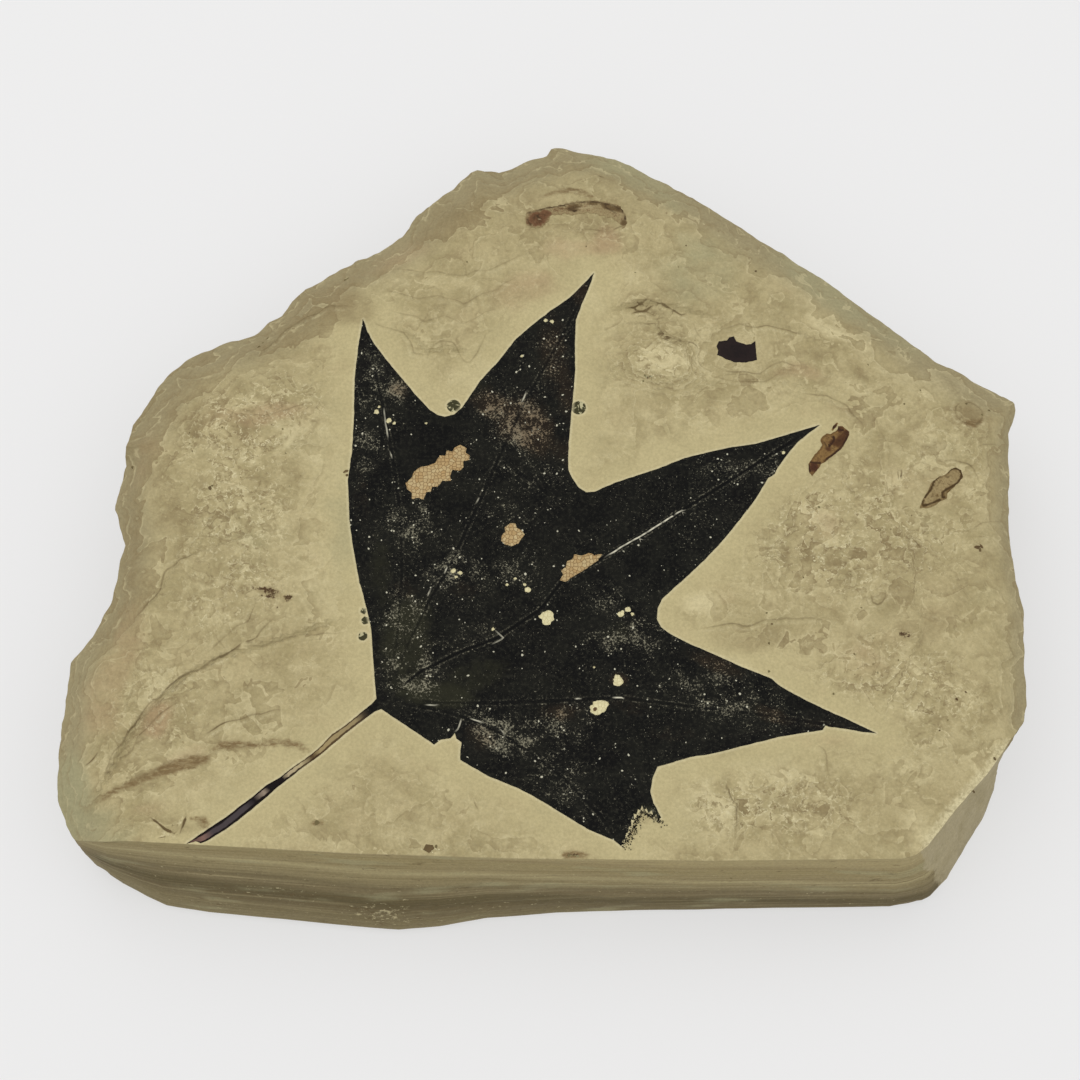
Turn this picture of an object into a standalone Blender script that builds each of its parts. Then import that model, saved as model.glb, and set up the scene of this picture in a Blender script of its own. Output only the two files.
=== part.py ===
"""Compression fossil of a five-lobed leaf on a slab of laminated shale.

The slab lies flat on its back. X runs along its sawn edge, Y leads away from that edge, and Z is up
from the underside. Plan shapes and heights are drawn in millimetres, and MM turns them into metres.
"""

import math

import bmesh
import bpy
from mathutils import Vector, noise

MM = 0.001

# ---- Slab ----
BEDDING_FACE = 26.0          # height of the split face that carries the leaf
BLOCK_TOP = 29.0             # the block is built this high, then split down to the bedding face
STATION_STEP = 5.0           # longest run of wall between two corners
ON_LINE = 0.01               # a station this near a line belongs to it

# Plan of the slab, anticlockwise from the left end of the sawn edge
SAWN_EDGE = [(-86, -71.5), (-64, -72), (-38, -73.5), (-8, -74.5), (30, -75), (67.5, -74.7)]
CORNER_BREAK = [(72, -70.5), (78.5, -64), (84.5, -57.5), (88.5, -52)]
RIGHT_BREAK = [
    (92.5, -46), (93.5, -39), (93.5, -28.5), (93.8, -22.5), (92.4, -13), (92, -7), (92.5, 7),
    (93.5, 15), (95.1, 21.5),
]
BACK_RIGHT_BREAK = [
    (92, 24.5), (84.5, 29), (79.5, 32), (72.5, 38), (62.5, 46.5), (56.5, 51.5), (48.5, 57),
    (40.5, 63), (32, 69), (23.5, 74), (18, 77.5), (11, 80), (4.5, 81.5), (1.5, 82),
]
BACK_LEFT_BREAK = [
    (0, 80.3), (-5.5, 78.5), (-10, 76), (-15.5, 77), (-22.5, 70), (-27, 66), (-30.3, 61),
    (-35, 57.5), (-43, 53.5), (-49, 49.5), (-55, 43), (-61, 38), (-66, 36.5), (-74, 32.8),
    (-78, 28.5), (-81, 23.5), (-84.3, 17),
]
LEFT_BREAK = [
    (-85, 9), (-87, 0), (-84.5, -8), (-86.5, -20), (-89.5, -27), (-93.5, -32.5), (-94.5, -43),
    (-95.1, -56.5), (-94.5, -61.5), (-92.8, -66), (-90, -69.5),
]

# How the bedding face falls away to each broken edge: (stretch, width of the fall, drop at the edge)
EDGE_FALLS = [
    (BACK_RIGHT_BREAK, 16.0, 5.5),
    (BACK_LEFT_BREAK, 18.0, 6.0),
    (LEFT_BREAK, 13.0, 6.0),
    (RIGHT_BREAK, 9.0, 4.0),
    (CORNER_BREAK, 3.0, 0.8),
]
TREAD = 1.4                  # height between the lamina treads that step the face down

# Beds in the broken walls: (bottom, top, how far the bed may stand back from the plan)
WALL_BEDS = [
    (0.0, 5.0, 3.6), (5.8, 10.0, 2.2), (10.6, 14.4, 3.0), (15.2, 18.8, 1.4), (19.6, BLOCK_TOP, 0.0),
]
RAGGED_SIZE = 13.0           # length of one bite along a bed
RAGGED_LEAST = 0.25          # smallest share of its set-back that a bed keeps
BED_SEED_STEP = 40.0         # keeps one bed's bites apart from the next one's
BASE_ARRIS = 1.2             # the bottom edge is worn back this far
BASE_ARRIS_HEIGHT = 1.5

# The sawn face leans out towards its foot, and bulges where the rock is thicker at the left
SAW_LEAN = 2.7
SAW_BULGE = 5.6
SAW_BULGE_RISE = (-90.0, -66.0)
SAW_BULGE_FALL = (-30.0, 8.0)
CORNER_LEAN = 3.0            # the broken corner leans out this far at its foot
CORNER_FACET = [SAWN_EDGE[-1], *CORNER_BREAK]

# Shallow spalls in the underside, drawn past the slab's edge: (outline, depth)
SPALL_START = -3.0           # their cutters begin this far below the underside
UNDERSIDE_SPALLS = {
    "spall_back": (
        [(16, 64), (30, 56), (41, 49), (55, 38), (63, 33), (82, 22), (112, 16), (112, 60), (30, 98)], 2.0,
    ),
    "spall_left": (
        [(-76, 22), (-70, 9), (-74, -6), (-79, -20), (-84, -31), (-112, -36), (-112, 28)], 1.5,
    ),
}

# Low relief of the bedding face
SWELL_HEIGHT = 0.5
SWELL_SIZE = 34.0
SWELL_SEED = 3.0
MOUND_CENTRE, MOUND_RADII, MOUND_HEIGHT = (24, 29), (14, 8), 1.1
MOUND_CROWN = 0.2            # share of the mound's radius that is its rounded top
# Scarps: (line with its high side on the left, height, width of the slope behind it)
SCARPS = [
    ([(-84, -57), (-79, -46), (-71.5, -38.5), (-65, -34.5), (-55.5, -31.5), (-46, -28)], 0.8, 16.0),
    ([(-36, 38), (-27, 35), (-24, 31.5), (-20.5, 33), (-15.5, 31), (-12, 34), (-6, 41)], 0.7, 14.0),
    ([(14, 41.5), (19, 43), (24, 42.5), (31, 40.5)], 0.7, 8.0),
    ([(-66, -11), (-72.5, -13.5), (-76, -20), (-81, -26)], 0.7, 12.0),
]
CALM_START, CALM_END = 2.0, 8.0   # relief fades in over this distance from a fossil
SAWN_CALM = 6.0              # and over this distance from the sawn edge
RELIEF_STEP = 2.8            # spacing of the split surface's grid
RELIEF_HALF = (99.0, 87.0)   # half-size of that grid
OVERBURDEN_TOP = 33.0
FLAT_WITHIN = 0.6            # facets this many degrees apart are merged

# ---- Fossils, as thin coaly films let into the bedding face ----
FILM_TOP = 0.2
FILM_BOTTOM = -0.4
POCKET_FLOOR = -0.7
POCKET_TOP = 3.0
POCKET_GAP = 0.3
RIB_BOTTOM, RIB_TOP = 0.0, 0.5

LEFT_MARGIN = [
    (-33.2, -42.6), (-33.8, -36.5), (-34.5, -28), (-37, -18.5), (-39.3, -5), (-39.8, 3.5),
    (-39.1, 10), (-39, 25.5), (-38, 39),
]
SINUS_1 = [(-35.7, 34.2), (-29.6, 26), (-23.7, 18.8), (-20.6, 17.3), (-17.2, 19.3)]
LOBE_2 = [
    (-9.6, 30), (-3.5, 37.4), (4.6, 44), (7.3, 47), (9.6, 49.7), (8.3, 45.8), (5.8, 39),
    (5.6, 27.3), (4.3, 12.2),
]
SINUS_2 = [(4.1, 7.8), (4.9, 3.9), (7.7, 0.8), (13.3, 2.8)]
LOBE_3 = [
    (22.3, 6), (32.5, 9.6), (41.6, 11.3), (51.3, 14.4), (54.7, 15.5), (50.2, 11.8), (44, 3.9),
    (38.2, -5), (30.9, -13.7), (24.4, -20),
]
SINUS_3 = [(21.6, -23.8), (21.4, -26.1), (23.9, -29.2)]
LOBE_4 = [
    (31.8, -33.2), (43.5, -38.5), (45, -40), (53.2, -44.6), (63.3, -49.6), (54.3, -48.3),
    (53, -49), (44.4, -50.4), (34.5, -53), (27.3, -54.4), (21, -56.4),
]
SINUS_4 = [(19.6, -61.4), (21.2, -65.6)]
TORN_LOBE_5 = [
    (20.8, -67.3), (19.4, -66.4), (18.5, -65), (17.3, -66.2), (16.8, -68.4), (15, -69),
    (14.9, -70.4), (13.7, -71.8),
]
LOWER_MARGIN = [
    (8, -69), (-0.5, -63.6), (-11.1, -58.4), (-16.8, -55), (-16.6, -51.5), (-18.1, -49.6),
    (-21.9, -51.7), (-28.9, -47), (-32.2, -44.7),
]
STALK_LOWER_SIDE = [
    (-34.7, -45.8), (-41.9, -52.2), (-48.5, -57.7), (-53.1, -62.2), (-60.9, -69), (-64.4, -71),
]
STALK_UPPER_SIDE = [(-67.2, -70.9), (-56.9, -63.4), (-51.3, -58.8), (-42, -49.7), (-35.4, -44.4)]
LEAF_OUTLINE = (
    LEFT_MARGIN + SINUS_1 + LOBE_2 + SINUS_2 + LOBE_3 + SINUS_3 + LOBE_4 + SINUS_4 + TORN_LOBE_5
    + LOWER_MARGIN + STALK_LOWER_SIDE + STALK_UPPER_SIDE
)

# Places where the coaly film has flaked off the leaf
FLAKED_HOLES = [
    [(-28.2, 2.6), (-26.8, -0.6), (-24.6, -0.4), (-23.4, 1.6), (-19.3, 3.5), (-19, 5.4), (-16.6, 6.4),
     (-15.5, 8.6), (-17.7, 11), (-21.3, 8.5), (-25.4, 6.2)],
    [(-9.2, -9.5), (-8, -6), (-6.2, -5.8), (-4.6, -8), (-6.2, -10.3)],
    [(2.6, -17.8), (2.8, -15), (5, -12.4), (10.7, -12.3), (7.8, -15.6), (3.8, -18)],
    [(-1.9, -25.8), (-0.7, -24.2), (1.3, -26), (0.6, -27.7)],
    [(8.1, -43), (8.4, -45.6), (10.6, -45.6), (10.9, -43.2)],
]

# Ribs stand a little proud: (line from the leaf's base to its tip, width at the base, width at the tip)
LEAF_RIBS = {
    "rib_stalk": (
        [(-64.8, -69.9), (-58, -65.2), (-52.2, -60.6), (-45, -54.2), (-38.5, -48.5), (-31, -42.6)],
        1.3, 0.9,
    ),
    "rib_lobe_1": (
        [(-31.6, -42.2), (-29.4, -30.5), (-28.7, -16), (-29.3, -3), (-33, 19.5), (-36.8, 34)],
        0.9, 0.3,
    ),
    "rib_lobe_2": (
        [(-31.4, -42), (-27.8, -32.6), (-19.6, -15.8), (-9.5, 9), (2.6, 34.4), (8.2, 46.6)],
        0.9, 0.3,
    ),
    "rib_lobe_3": (
        [(-31.6, -42.8), (-24.8, -37), (-9.9, -30), (1, -20.4), (11.3, -13), (27, -3), (50, 12.8)],
        1.1, 0.3,
    ),
    "rib_lobe_4": (
        [(-31.2, -42.8), (-20.9, -43.4), (2.4, -43), (14.6, -42.6), (43, -46), (59, -48.5)],
        0.8, 0.3,
    ),
    "rib_lobe_5": ([(-31.4, -43.2), (-20.8, -45), (-8, -50.4), (2.3, -58), (12.6, -69)], 0.8, 0.3),
}

BARK_STRIP = [
    (-4.6, 62.6), (-3.4, 60.2), (-1, 60), (0.4, 62.4), (5.4, 62.8), (12.8, 62.2), (15, 59.8),
    (16.5, 61.2), (14.8, 65.6), (9.6, 66.6), (3, 65.8), (-4.4, 64),
]
LEAF_SCRAP = [
    (34.4, 31), (35.4, 30.7), (38, 29.4), (42.5, 29.9), (42.2, 34.2), (41, 33.3), (38.4, 34.1),
    (37.7, 35.2), (36.5, 34.4), (34.8, 34.2), (34.4, 33),
]
INSECT = [
    (52.3, 6.6), (52.9, 4.5), (55, 6.7), (57.6, 8.9), (59.2, 10.9), (60.5, 13.5), (58.4, 15.6),
    (55.1, 12.4), (54.6, 10), (52.9, 8.2),
]
WINGED_INSECT = [
    (73.9, -2.4), (75, -2.6), (79, -1), (81.2, 2), (82.8, 3.6), (82.7, 5.6), (81.2, 6.2),
    (77.6, 4.2), (76, 2), (75, -0.6),
]
SMALL_FILMS = {
    "bark_strip": BARK_STRIP,
    "leaf_scrap": LEAF_SCRAP,
    "insect": INSECT,
    "winged_insect": WINGED_INSECT,
}

# ---- Finishes: colour, roughness ----
FINISHES = {
    "slab": ((0.46, 0.40, 0.23), 0.85),
    "leaf": ((0.012, 0.012, 0.011), 0.45),
    "bark_strip": ((0.16, 0.09, 0.05), 0.7),
    "leaf_scrap": ((0.015, 0.010, 0.009), 0.5),
    "insect": ((0.13, 0.06, 0.025), 0.6),
    "winged_insect": ((0.26, 0.18, 0.10), 0.7),
}


# ---- Plan geometry ----

def smoothstep(low, high, value):
    t = min(max((value - low) / (high - low), 0.0), 1.0)
    return t * t * (3.0 - 2.0 * t)


def distance_to_line(x, y, line, closed=False):
    """Shortest distance in plan from a point to a polyline, and the side it lies on (+1 is left)."""
    ends = line[1:] + line[:1] if closed else line[1:]
    nearest, side = math.inf, 1.0
    for (ax, ay), (bx, by) in zip(line, ends):
        dx, dy = bx - ax, by - ay
        along = min(max(((x - ax) * dx + (y - ay) * dy) / (dx * dx + dy * dy), 0.0), 1.0)
        gap = math.hypot(x - ax - along * dx, y - ay - along * dy)
        if gap < nearest:
            nearest = gap
            side = math.copysign(1.0, dx * (y - ay) - dy * (x - ax))
    return nearest, side


def stations(outline, step):
    """The outline with its long runs divided, so that no run is longer than the step."""
    points = []
    for (ax, ay), (bx, by) in zip(outline, outline[1:] + outline[:1]):
        parts = max(1, math.ceil(math.hypot(bx - ax, by - ay) / step))
        points += [(ax + (bx - ax) * k / parts, ay + (by - ay) * k / parts) for k in range(parts)]
    return points


def outward_normals(outline, reach):
    """Plan normals of an anticlockwise outline, evened out over a few points each way."""
    count = len(outline)
    normals = []
    for i in range(count):
        before, after = outline[(i - reach) % count], outline[(i + reach) % count]
        normals.append(Vector((after[1] - before[1], before[0] - after[0])).normalized())
    return normals


def grown(outline, margin):
    """The outline moved out by a margin, with its mitres cut short at sharp tips."""
    count = len(outline)
    area = sum(a[0] * b[1] - b[0] * a[1] for a, b in zip(outline, outline[1:] + outline[:1]))
    turn = math.copysign(1.0, area)
    points = []
    for i, (x, y) in enumerate(outline):
        into = Vector(outline[i]) - Vector(outline[i - 1])
        out = Vector(outline[(i + 1) % count]) - Vector(outline[i])
        first = Vector((into.y, -into.x)).normalized() * turn
        second = Vector((out.y, -out.x)).normalized() * turn
        bisector = first + second
        reach = margin * 2.0 / max(bisector.length_squared, 0.5)
        points.append((x + bisector.x * reach, y + bisector.y * reach))
    return points


def ribbon(line, start_width, end_width):
    """Outline of a strip that follows a line and tapers to its end."""
    left, right = [], []
    last = len(line) - 1
    for i, (x, y) in enumerate(line):
        before, after = line[max(i - 1, 0)], line[min(i + 1, last)]
        across = Vector((before[1] - after[1], after[0] - before[0])).normalized()
        half = (start_width + (end_width - start_width) * i / last) / 2.0
        left.append((x + across.x * half, y + across.y * half))
        right.append((x - across.x * half, y - across.y * half))
    return right + left[::-1]


# ---- Relief of the bedding face ----

def stepped(fall):
    """A smooth fall turned into lamina treads with short risers."""
    treads, part = divmod(fall / TREAD, 1.0)
    return TREAD * (treads + smoothstep(0.3, 0.8, part))


def relief(x, y):
    """Height of the split surface at a plan position, from the bedding face."""
    fall = 0.0
    for stretch, width, drop in EDGE_FALLS:
        gap = distance_to_line(x, y, stretch)[0]
        if gap < width:
            fall = max(fall, drop * (1.0 - gap / width) ** 2)
    calm = distance_to_line(x, y, LEAF_OUTLINE, closed=True)[0]
    for outline in SMALL_FILMS.values():
        calm = min(calm, distance_to_line(x, y, outline, closed=True)[0])
    away = smoothstep(CALM_START, CALM_END, calm)
    if inside(x, y, LEAF_OUTLINE) or away == 0.0:
        return -fall
    swell = SWELL_HEIGHT * noise.noise(Vector((x, y, SWELL_SEED)) / SWELL_SIZE)
    mound = math.hypot((x - MOUND_CENTRE[0]) / MOUND_RADII[0], (y - MOUND_CENTRE[1]) / MOUND_RADII[1])
    swell += MOUND_HEIGHT * (1.0 - smoothstep(MOUND_CROWN, 1.0, mound))
    for line, height, width in SCARPS:
        gap, side = distance_to_line(x, y, line)
        swell += height * (0.5 if side > 0 else -0.5) * (1.0 - smoothstep(0.0, width, gap))
    edge = distance_to_line(x, y, SAWN_EDGE)[0]
    return away * swell * smoothstep(0.0, SAWN_CALM, edge) - stepped(fall)


def inside(x, y, outline):
    crossed = False
    for (ax, ay), (bx, by) in zip(outline, outline[1:] + outline[:1]):
        if (ay > y) != (by > y) and x < ax + (bx - ax) * (y - ay) / (by - ay):
            crossed = not crossed
    return crossed


# ---- Scene helpers ----

def clear_scene():
    for obj in list(bpy.data.objects):
        bpy.data.objects.remove(obj, do_unlink=True)


def new_collection(name):
    collection = bpy.data.collections.new(name)
    bpy.context.scene.collection.children.link(collection)
    return collection


def finish(name):
    colour, roughness = FINISHES[name]
    made = bpy.data.materials.new(name)
    made.use_nodes = True
    shader = made.node_tree.nodes["Principled BSDF"]
    shader.inputs["Base Color"].default_value = (*colour, 1.0)
    shader.inputs["Roughness"].default_value = roughness
    shader.inputs["Metallic"].default_value = 0.0
    return made


def mesh_object(name, bm, collection):
    """An object whose mesh is the millimetre bmesh, closed, facing out and in metres."""
    bmesh.ops.triangulate(bm, faces=bm.faces)
    bmesh.ops.recalc_face_normals(bm, faces=bm.faces)
    bmesh.ops.scale(bm, vec=(MM, MM, MM), verts=bm.verts)
    mesh = bpy.data.meshes.new(name)
    bm.to_mesh(mesh)
    bm.free()
    obj = bpy.data.objects.new(name, mesh)
    collection.objects.link(obj)
    return obj


def plate(name, outlines, low, high, collection):
    """A flat plate on the bedding face, with any further outlines as holes, draped over the relief."""
    curve = bpy.data.curves.new(name, "CURVE")
    curve.dimensions = "2D"
    curve.fill_mode = "BOTH"
    curve.extrude = (high - low) / 2.0
    for outline in outlines:
        spline = curve.splines.new("POLY")
        spline.points.add(len(outline) - 1)
        for point, (x, y) in zip(spline.points, outline):
            point.co = (x, y, 0.0, 1.0)
        spline.use_cyclic_u = True
    drawn = bpy.data.objects.new(name + "_outline", curve)
    collection.objects.link(drawn)
    graph = bpy.context.evaluated_depsgraph_get()
    flat = bpy.data.meshes.new_from_object(drawn.evaluated_get(graph))
    bpy.data.objects.remove(drawn)
    bm = bmesh.new()
    bm.from_mesh(flat)
    bpy.data.meshes.remove(flat)
    bmesh.ops.remove_doubles(bm, verts=bm.verts, dist=0.0001)
    for vert in bm.verts:
        vert.co.z += BEDDING_FACE + (high + low) / 2.0 + relief(vert.co.x, vert.co.y)
    return mesh_object(name, bm, collection)


def combine(target, other, operation):
    modifier = target.modifiers.new(other.name, "BOOLEAN")
    modifier.operation = operation
    modifier.solver = "EXACT"
    modifier.object = other


def as_tool(obj):
    obj.hide_render = True
    obj.display_type = "WIRE"
    return obj


# ---- Slab ----

def wall_profile():
    """Heights of the wall's rings, with the bed that each belongs to."""
    rings = []
    for bed, (bottom, top, _) in enumerate(WALL_BEDS):
        if bed == 0:
            rings.append((bottom, bed))
            bottom += BASE_ARRIS_HEIGHT
        rings += [(bottom, bed), (top, bed)]
    return rings


def sawn_lean(x, height):
    """How far the sawn face stands out from its top edge at a height."""
    bulge = smoothstep(*SAW_BULGE_RISE, x) * (1.0 - smoothstep(*SAW_BULGE_FALL, x))
    return (SAW_LEAN + SAW_BULGE * bulge) * (1.0 - smoothstep(0.0, BEDDING_FACE, height))


def wall_offset(x, y, height, bed):
    """Plan distance of the wall at a station and height from the plan outline."""
    if distance_to_line(x, y, SAWN_EDGE)[0] < ON_LINE:
        offset = sawn_lean(x, height)
    elif distance_to_line(x, y, CORNER_FACET)[0] < ON_LINE:
        offset = CORNER_LEAN * (1.0 - smoothstep(0.0, BEDDING_FACE, height))
    else:
        bite = noise.noise(Vector((x, y, BED_SEED_STEP * bed)) / RAGGED_SIZE)
        offset = -WALL_BEDS[bed][2] * (RAGGED_LEAST + 0.5 + 0.5 * bite)
    return offset - (BASE_ARRIS if height == 0.0 else 0.0)


def slab_block(collection):
    """The slab's plan raised through its beds, as a block that still has its overburden."""
    plan = SAWN_EDGE + CORNER_BREAK + RIGHT_BREAK + BACK_RIGHT_BREAK + BACK_LEFT_BREAK + LEFT_BREAK
    outline = stations(plan, STATION_STEP)
    normals = outward_normals(outline, 2)
    bm = bmesh.new()
    station = bm.verts.layers.int.new("station")
    ring = [bm.verts.new((x, y, 0.0)) for x, y in outline]
    for i, vert in enumerate(ring):
        vert[station] = i
    edges = [bm.edges.new(pair) for pair in zip(ring, ring[1:] + ring[:1])]
    for level, (height, bed) in enumerate(wall_profile()):
        if level:
            raised = bmesh.ops.extrude_edge_only(bm, edges=edges)["geom"]
            ring = [item for item in raised if isinstance(item, bmesh.types.BMVert)]
            edges = [item for item in raised if isinstance(item, bmesh.types.BMEdge) and item.is_boundary]
        for vert in ring:
            x, y = outline[vert[station]]
            out = normals[vert[station]] * wall_offset(x, y, height, bed)
            vert.co = (x + out.x, y + out.y, height)
    rim = [edge for edge in bm.edges if edge.is_boundary]
    bmesh.ops.holes_fill(bm, edges=rim, sides=0)
    return mesh_object("slab", bm, collection)


def overburden(collection):
    """The rock that split away: its underside is the relief of the bedding face."""
    columns, rows = (round(2 * half / RELIEF_STEP) for half in RELIEF_HALF)
    bm = bmesh.new()
    bmesh.ops.create_grid(bm, x_segments=columns, y_segments=rows, size=1.0)
    bmesh.ops.scale(bm, vec=(*RELIEF_HALF, 1.0), verts=bm.verts)
    for vert in bm.verts:
        vert.co.z = BEDDING_FACE + relief(vert.co.x, vert.co.y)
    raised = bmesh.ops.extrude_face_region(bm, geom=bm.faces[:])["geom"]
    for item in raised:
        if isinstance(item, bmesh.types.BMVert):
            item.co.z = OVERBURDEN_TOP
    bmesh.ops.dissolve_limit(bm, angle_limit=math.radians(FLAT_WITHIN), verts=bm.verts, edges=bm.edges)
    return as_tool(mesh_object("overburden", bm, collection))


def spall(name, collection):
    outline, depth = UNDERSIDE_SPALLS[name]
    bm = bmesh.new()
    face = bm.faces.new([bm.verts.new((x, y, SPALL_START)) for x, y in outline])
    raised = bmesh.ops.extrude_face_region(bm, geom=[face])["geom"]
    for item in raised:
        if isinstance(item, bmesh.types.BMVert):
            item.co.z = depth
    return as_tool(mesh_object(name, bm, collection))


# ---- Build ----

def main():
    clear_scene()
    parts = new_collection("fossil_leaf")
    tools = new_collection("tools")

    slab = slab_block(parts)
    combine(slab, overburden(tools), "DIFFERENCE")
    for name in UNDERSIDE_SPALLS:
        combine(slab, spall(name, tools), "DIFFERENCE")

    leaf = plate("leaf", [LEAF_OUTLINE] + FLAKED_HOLES, FILM_BOTTOM, FILM_TOP, parts)
    for name, (line, start, end) in LEAF_RIBS.items():
        rib = plate(name, [ribbon(line, start, end)], RIB_BOTTOM, RIB_TOP, tools)
        combine(leaf, as_tool(rib), "UNION")
    films = {"leaf": leaf}
    for name, outline in SMALL_FILMS.items():
        films[name] = plate(name, [outline], FILM_BOTTOM, FILM_TOP, parts)

    for name, outline in {"leaf": LEAF_OUTLINE, **SMALL_FILMS}.items():
        pocket = plate(name + "_pocket", [grown(outline, POCKET_GAP)], POCKET_FLOOR, POCKET_TOP, tools)
        combine(slab, as_tool(pocket), "DIFFERENCE")

    for obj in [slab, *films.values()]:
        obj.data.materials.append(finish(obj.name))


main()
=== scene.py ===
# Fossil leaf on a slab of laminated shale.
# Plans and heights are in millimetres in the frame's own axes: X along the sawn edge, Y away from
# it, Z up from the underside. mm turns them into metres.
import math
import random

import bmesh
import bpy
import numpy as np
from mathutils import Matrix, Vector, noise


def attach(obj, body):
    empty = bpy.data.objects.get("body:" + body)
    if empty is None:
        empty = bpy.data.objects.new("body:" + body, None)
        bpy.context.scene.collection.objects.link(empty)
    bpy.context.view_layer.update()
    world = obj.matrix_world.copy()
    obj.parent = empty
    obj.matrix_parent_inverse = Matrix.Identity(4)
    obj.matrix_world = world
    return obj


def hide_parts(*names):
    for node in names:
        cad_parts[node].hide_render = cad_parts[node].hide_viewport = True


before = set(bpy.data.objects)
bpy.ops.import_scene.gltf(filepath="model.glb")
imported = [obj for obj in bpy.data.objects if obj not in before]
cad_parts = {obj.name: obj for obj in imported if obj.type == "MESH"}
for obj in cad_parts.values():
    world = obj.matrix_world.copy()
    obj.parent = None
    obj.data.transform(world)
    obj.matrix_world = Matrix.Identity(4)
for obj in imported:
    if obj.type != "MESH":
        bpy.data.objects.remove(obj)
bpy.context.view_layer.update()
mm = 0.001
noise.seed_set(54)  # noise_vector goes by the clock until it has a seed


# plan arithmetic, on arrays of points in millimetres

def smoothstep(low, high, value):
    t = np.clip((value - low) / (high - low), 0.0, 1.0)
    return t * t * (3.0 - 2.0 * t)


def nearLine(points, line, closed=False):
    # distance to a line, side of it (1 is left, -1 right), and share of its length at the nearest spot
    ends = np.array(line + line[:1] if closed else line, float)
    lengths = np.linalg.norm(np.diff(ends, axis=0), axis=1)
    gap, side, share = np.full(len(points), 1e9), np.ones(len(points)), np.zeros(len(points))
    start = 0.0
    for a, b, length in zip(ends, ends[1:], lengths):
        run = b - a
        along = np.clip(((points - a) @ run) / (length * length), 0.0, 1.0)
        here = np.linalg.norm(points - a - along[:, None] * run, axis=1)
        turn = run[0] * (points[:, 1] - a[1]) - run[1] * (points[:, 0] - a[0])
        nearer = here < gap
        gap[nearer] = here[nearer]
        side[nearer] = np.where(turn[nearer] >= 0.0, 1.0, -1.0)
        share[nearer] = (start + along[nearer] * length) / lengths.sum()
        start += length
    return gap, side, share


def insideOf(points, outline):
    crossed = np.zeros(len(points), bool)
    x, y = points[:, 0], points[:, 1]
    for (ax, ay), (bx, by) in zip(outline, outline[1:] + outline[:1]):
        if ay != by:
            crossed ^= ((ay > y) != (by > y)) & (x < ax + (bx - ax) * (y - ay) / (by - ay))
    return crossed


def noiseAt(points, size, seed, octaves=1):
    if octaves == 1:
        return np.array([noise.noise(Vector((x / size, y / size, seed))) for x, y in points])
    return np.array([
        noise.fractal(Vector((x / size, y / size, seed)), 0.8, 2.1, octaves) for x, y in points
    ])


def blobsAt(points, blobs):
    # soft ellipses, each (x, y, half length, half width, turn in degrees, strength), added up
    total = np.zeros(len(points))
    for x, y, halfLong, halfWide, turn, strength in blobs:
        c, s = math.cos(math.radians(turn)), math.sin(math.radians(turn))
        dx, dy = points[:, 0] - x, points[:, 1] - y
        reach = np.hypot((dx * c + dy * s) / halfLong, (dy * c - dx * s) / halfWide)
        total += strength * (1.0 - smoothstep(0.25, 1.0, reach))
    return total


def shifted(points, size, amount, seed):
    # the points moved about by noise, so that what is drawn through them wanders
    moves = np.array([noise.noise_vector(Vector((x / size, y / size, seed)))[:2] for x, y in points])
    return points + amount * moves


def lineFields(points, lines, reach=2.5):
    # signed distance to the nearest line, and that line's strength, which dies away past its ends
    gap, strength = np.full(len(points), reach), np.zeros(len(points))
    nextGap = np.full(len(points), reach * 2.0)
    for line, dark, fade in lines:
        near, side, share = nearLine(points, line)
        nearer = near < np.abs(gap)
        nextGap = np.where(nearer, gap, np.where(near < np.abs(nextGap), near * side, nextGap))
        gap[nearer] = (near * side)[nearer]
        taper = smoothstep(0.0, fade, share) * smoothstep(0.0, fade, 1.0 - share)
        strength[nearer] = (dark * taper)[nearer]
    torn = (np.abs(nextGap) - np.abs(gap) < 1.1) & (gap * nextGap < 0.0) & (np.abs(gap) > 0.3)
    strength = np.where(torn, 0.0, strength) * (1.0 - smoothstep(0.5 * reach, 0.9 * reach, np.abs(gap)))
    return gap, strength


def ribbonGap(points, line, halves):
    # distance to a ribbon whose half width changes from point to point of its middle line
    lengths = [math.dist(a, b) for a, b in zip(line, line[1:])]
    shares = np.concatenate([[0.0], np.cumsum(lengths) / sum(lengths)])
    near, _, share = nearLine(points, line)
    return near - np.interp(share, shares, halves)


def densified(outline, step, closed=True):
    ends = outline[1:] + (outline[:1] if closed else [])
    points = []
    for (ax, ay), (bx, by) in zip(outline, ends):
        parts = max(1, math.ceil(math.hypot(bx - ax, by - ay) / step))
        points += [(ax + (bx - ax) * k / parts, ay + (by - ay) * k / parts) for k in range(parts)]
    return points if closed else points + [outline[-1]]


def roughened(outline, step, size, amount, seed):
    # a closed outline with more corners, each shifted a little by noise
    return [
        (x + amount * noise.noise(Vector((x / size, y / size, seed))),
         y + amount * noise.noise(Vector((x / size, y / size, seed + 9.0))))
        for x, y in densified(outline, step)
    ]


# slab: plan, relief and wall profile

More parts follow.
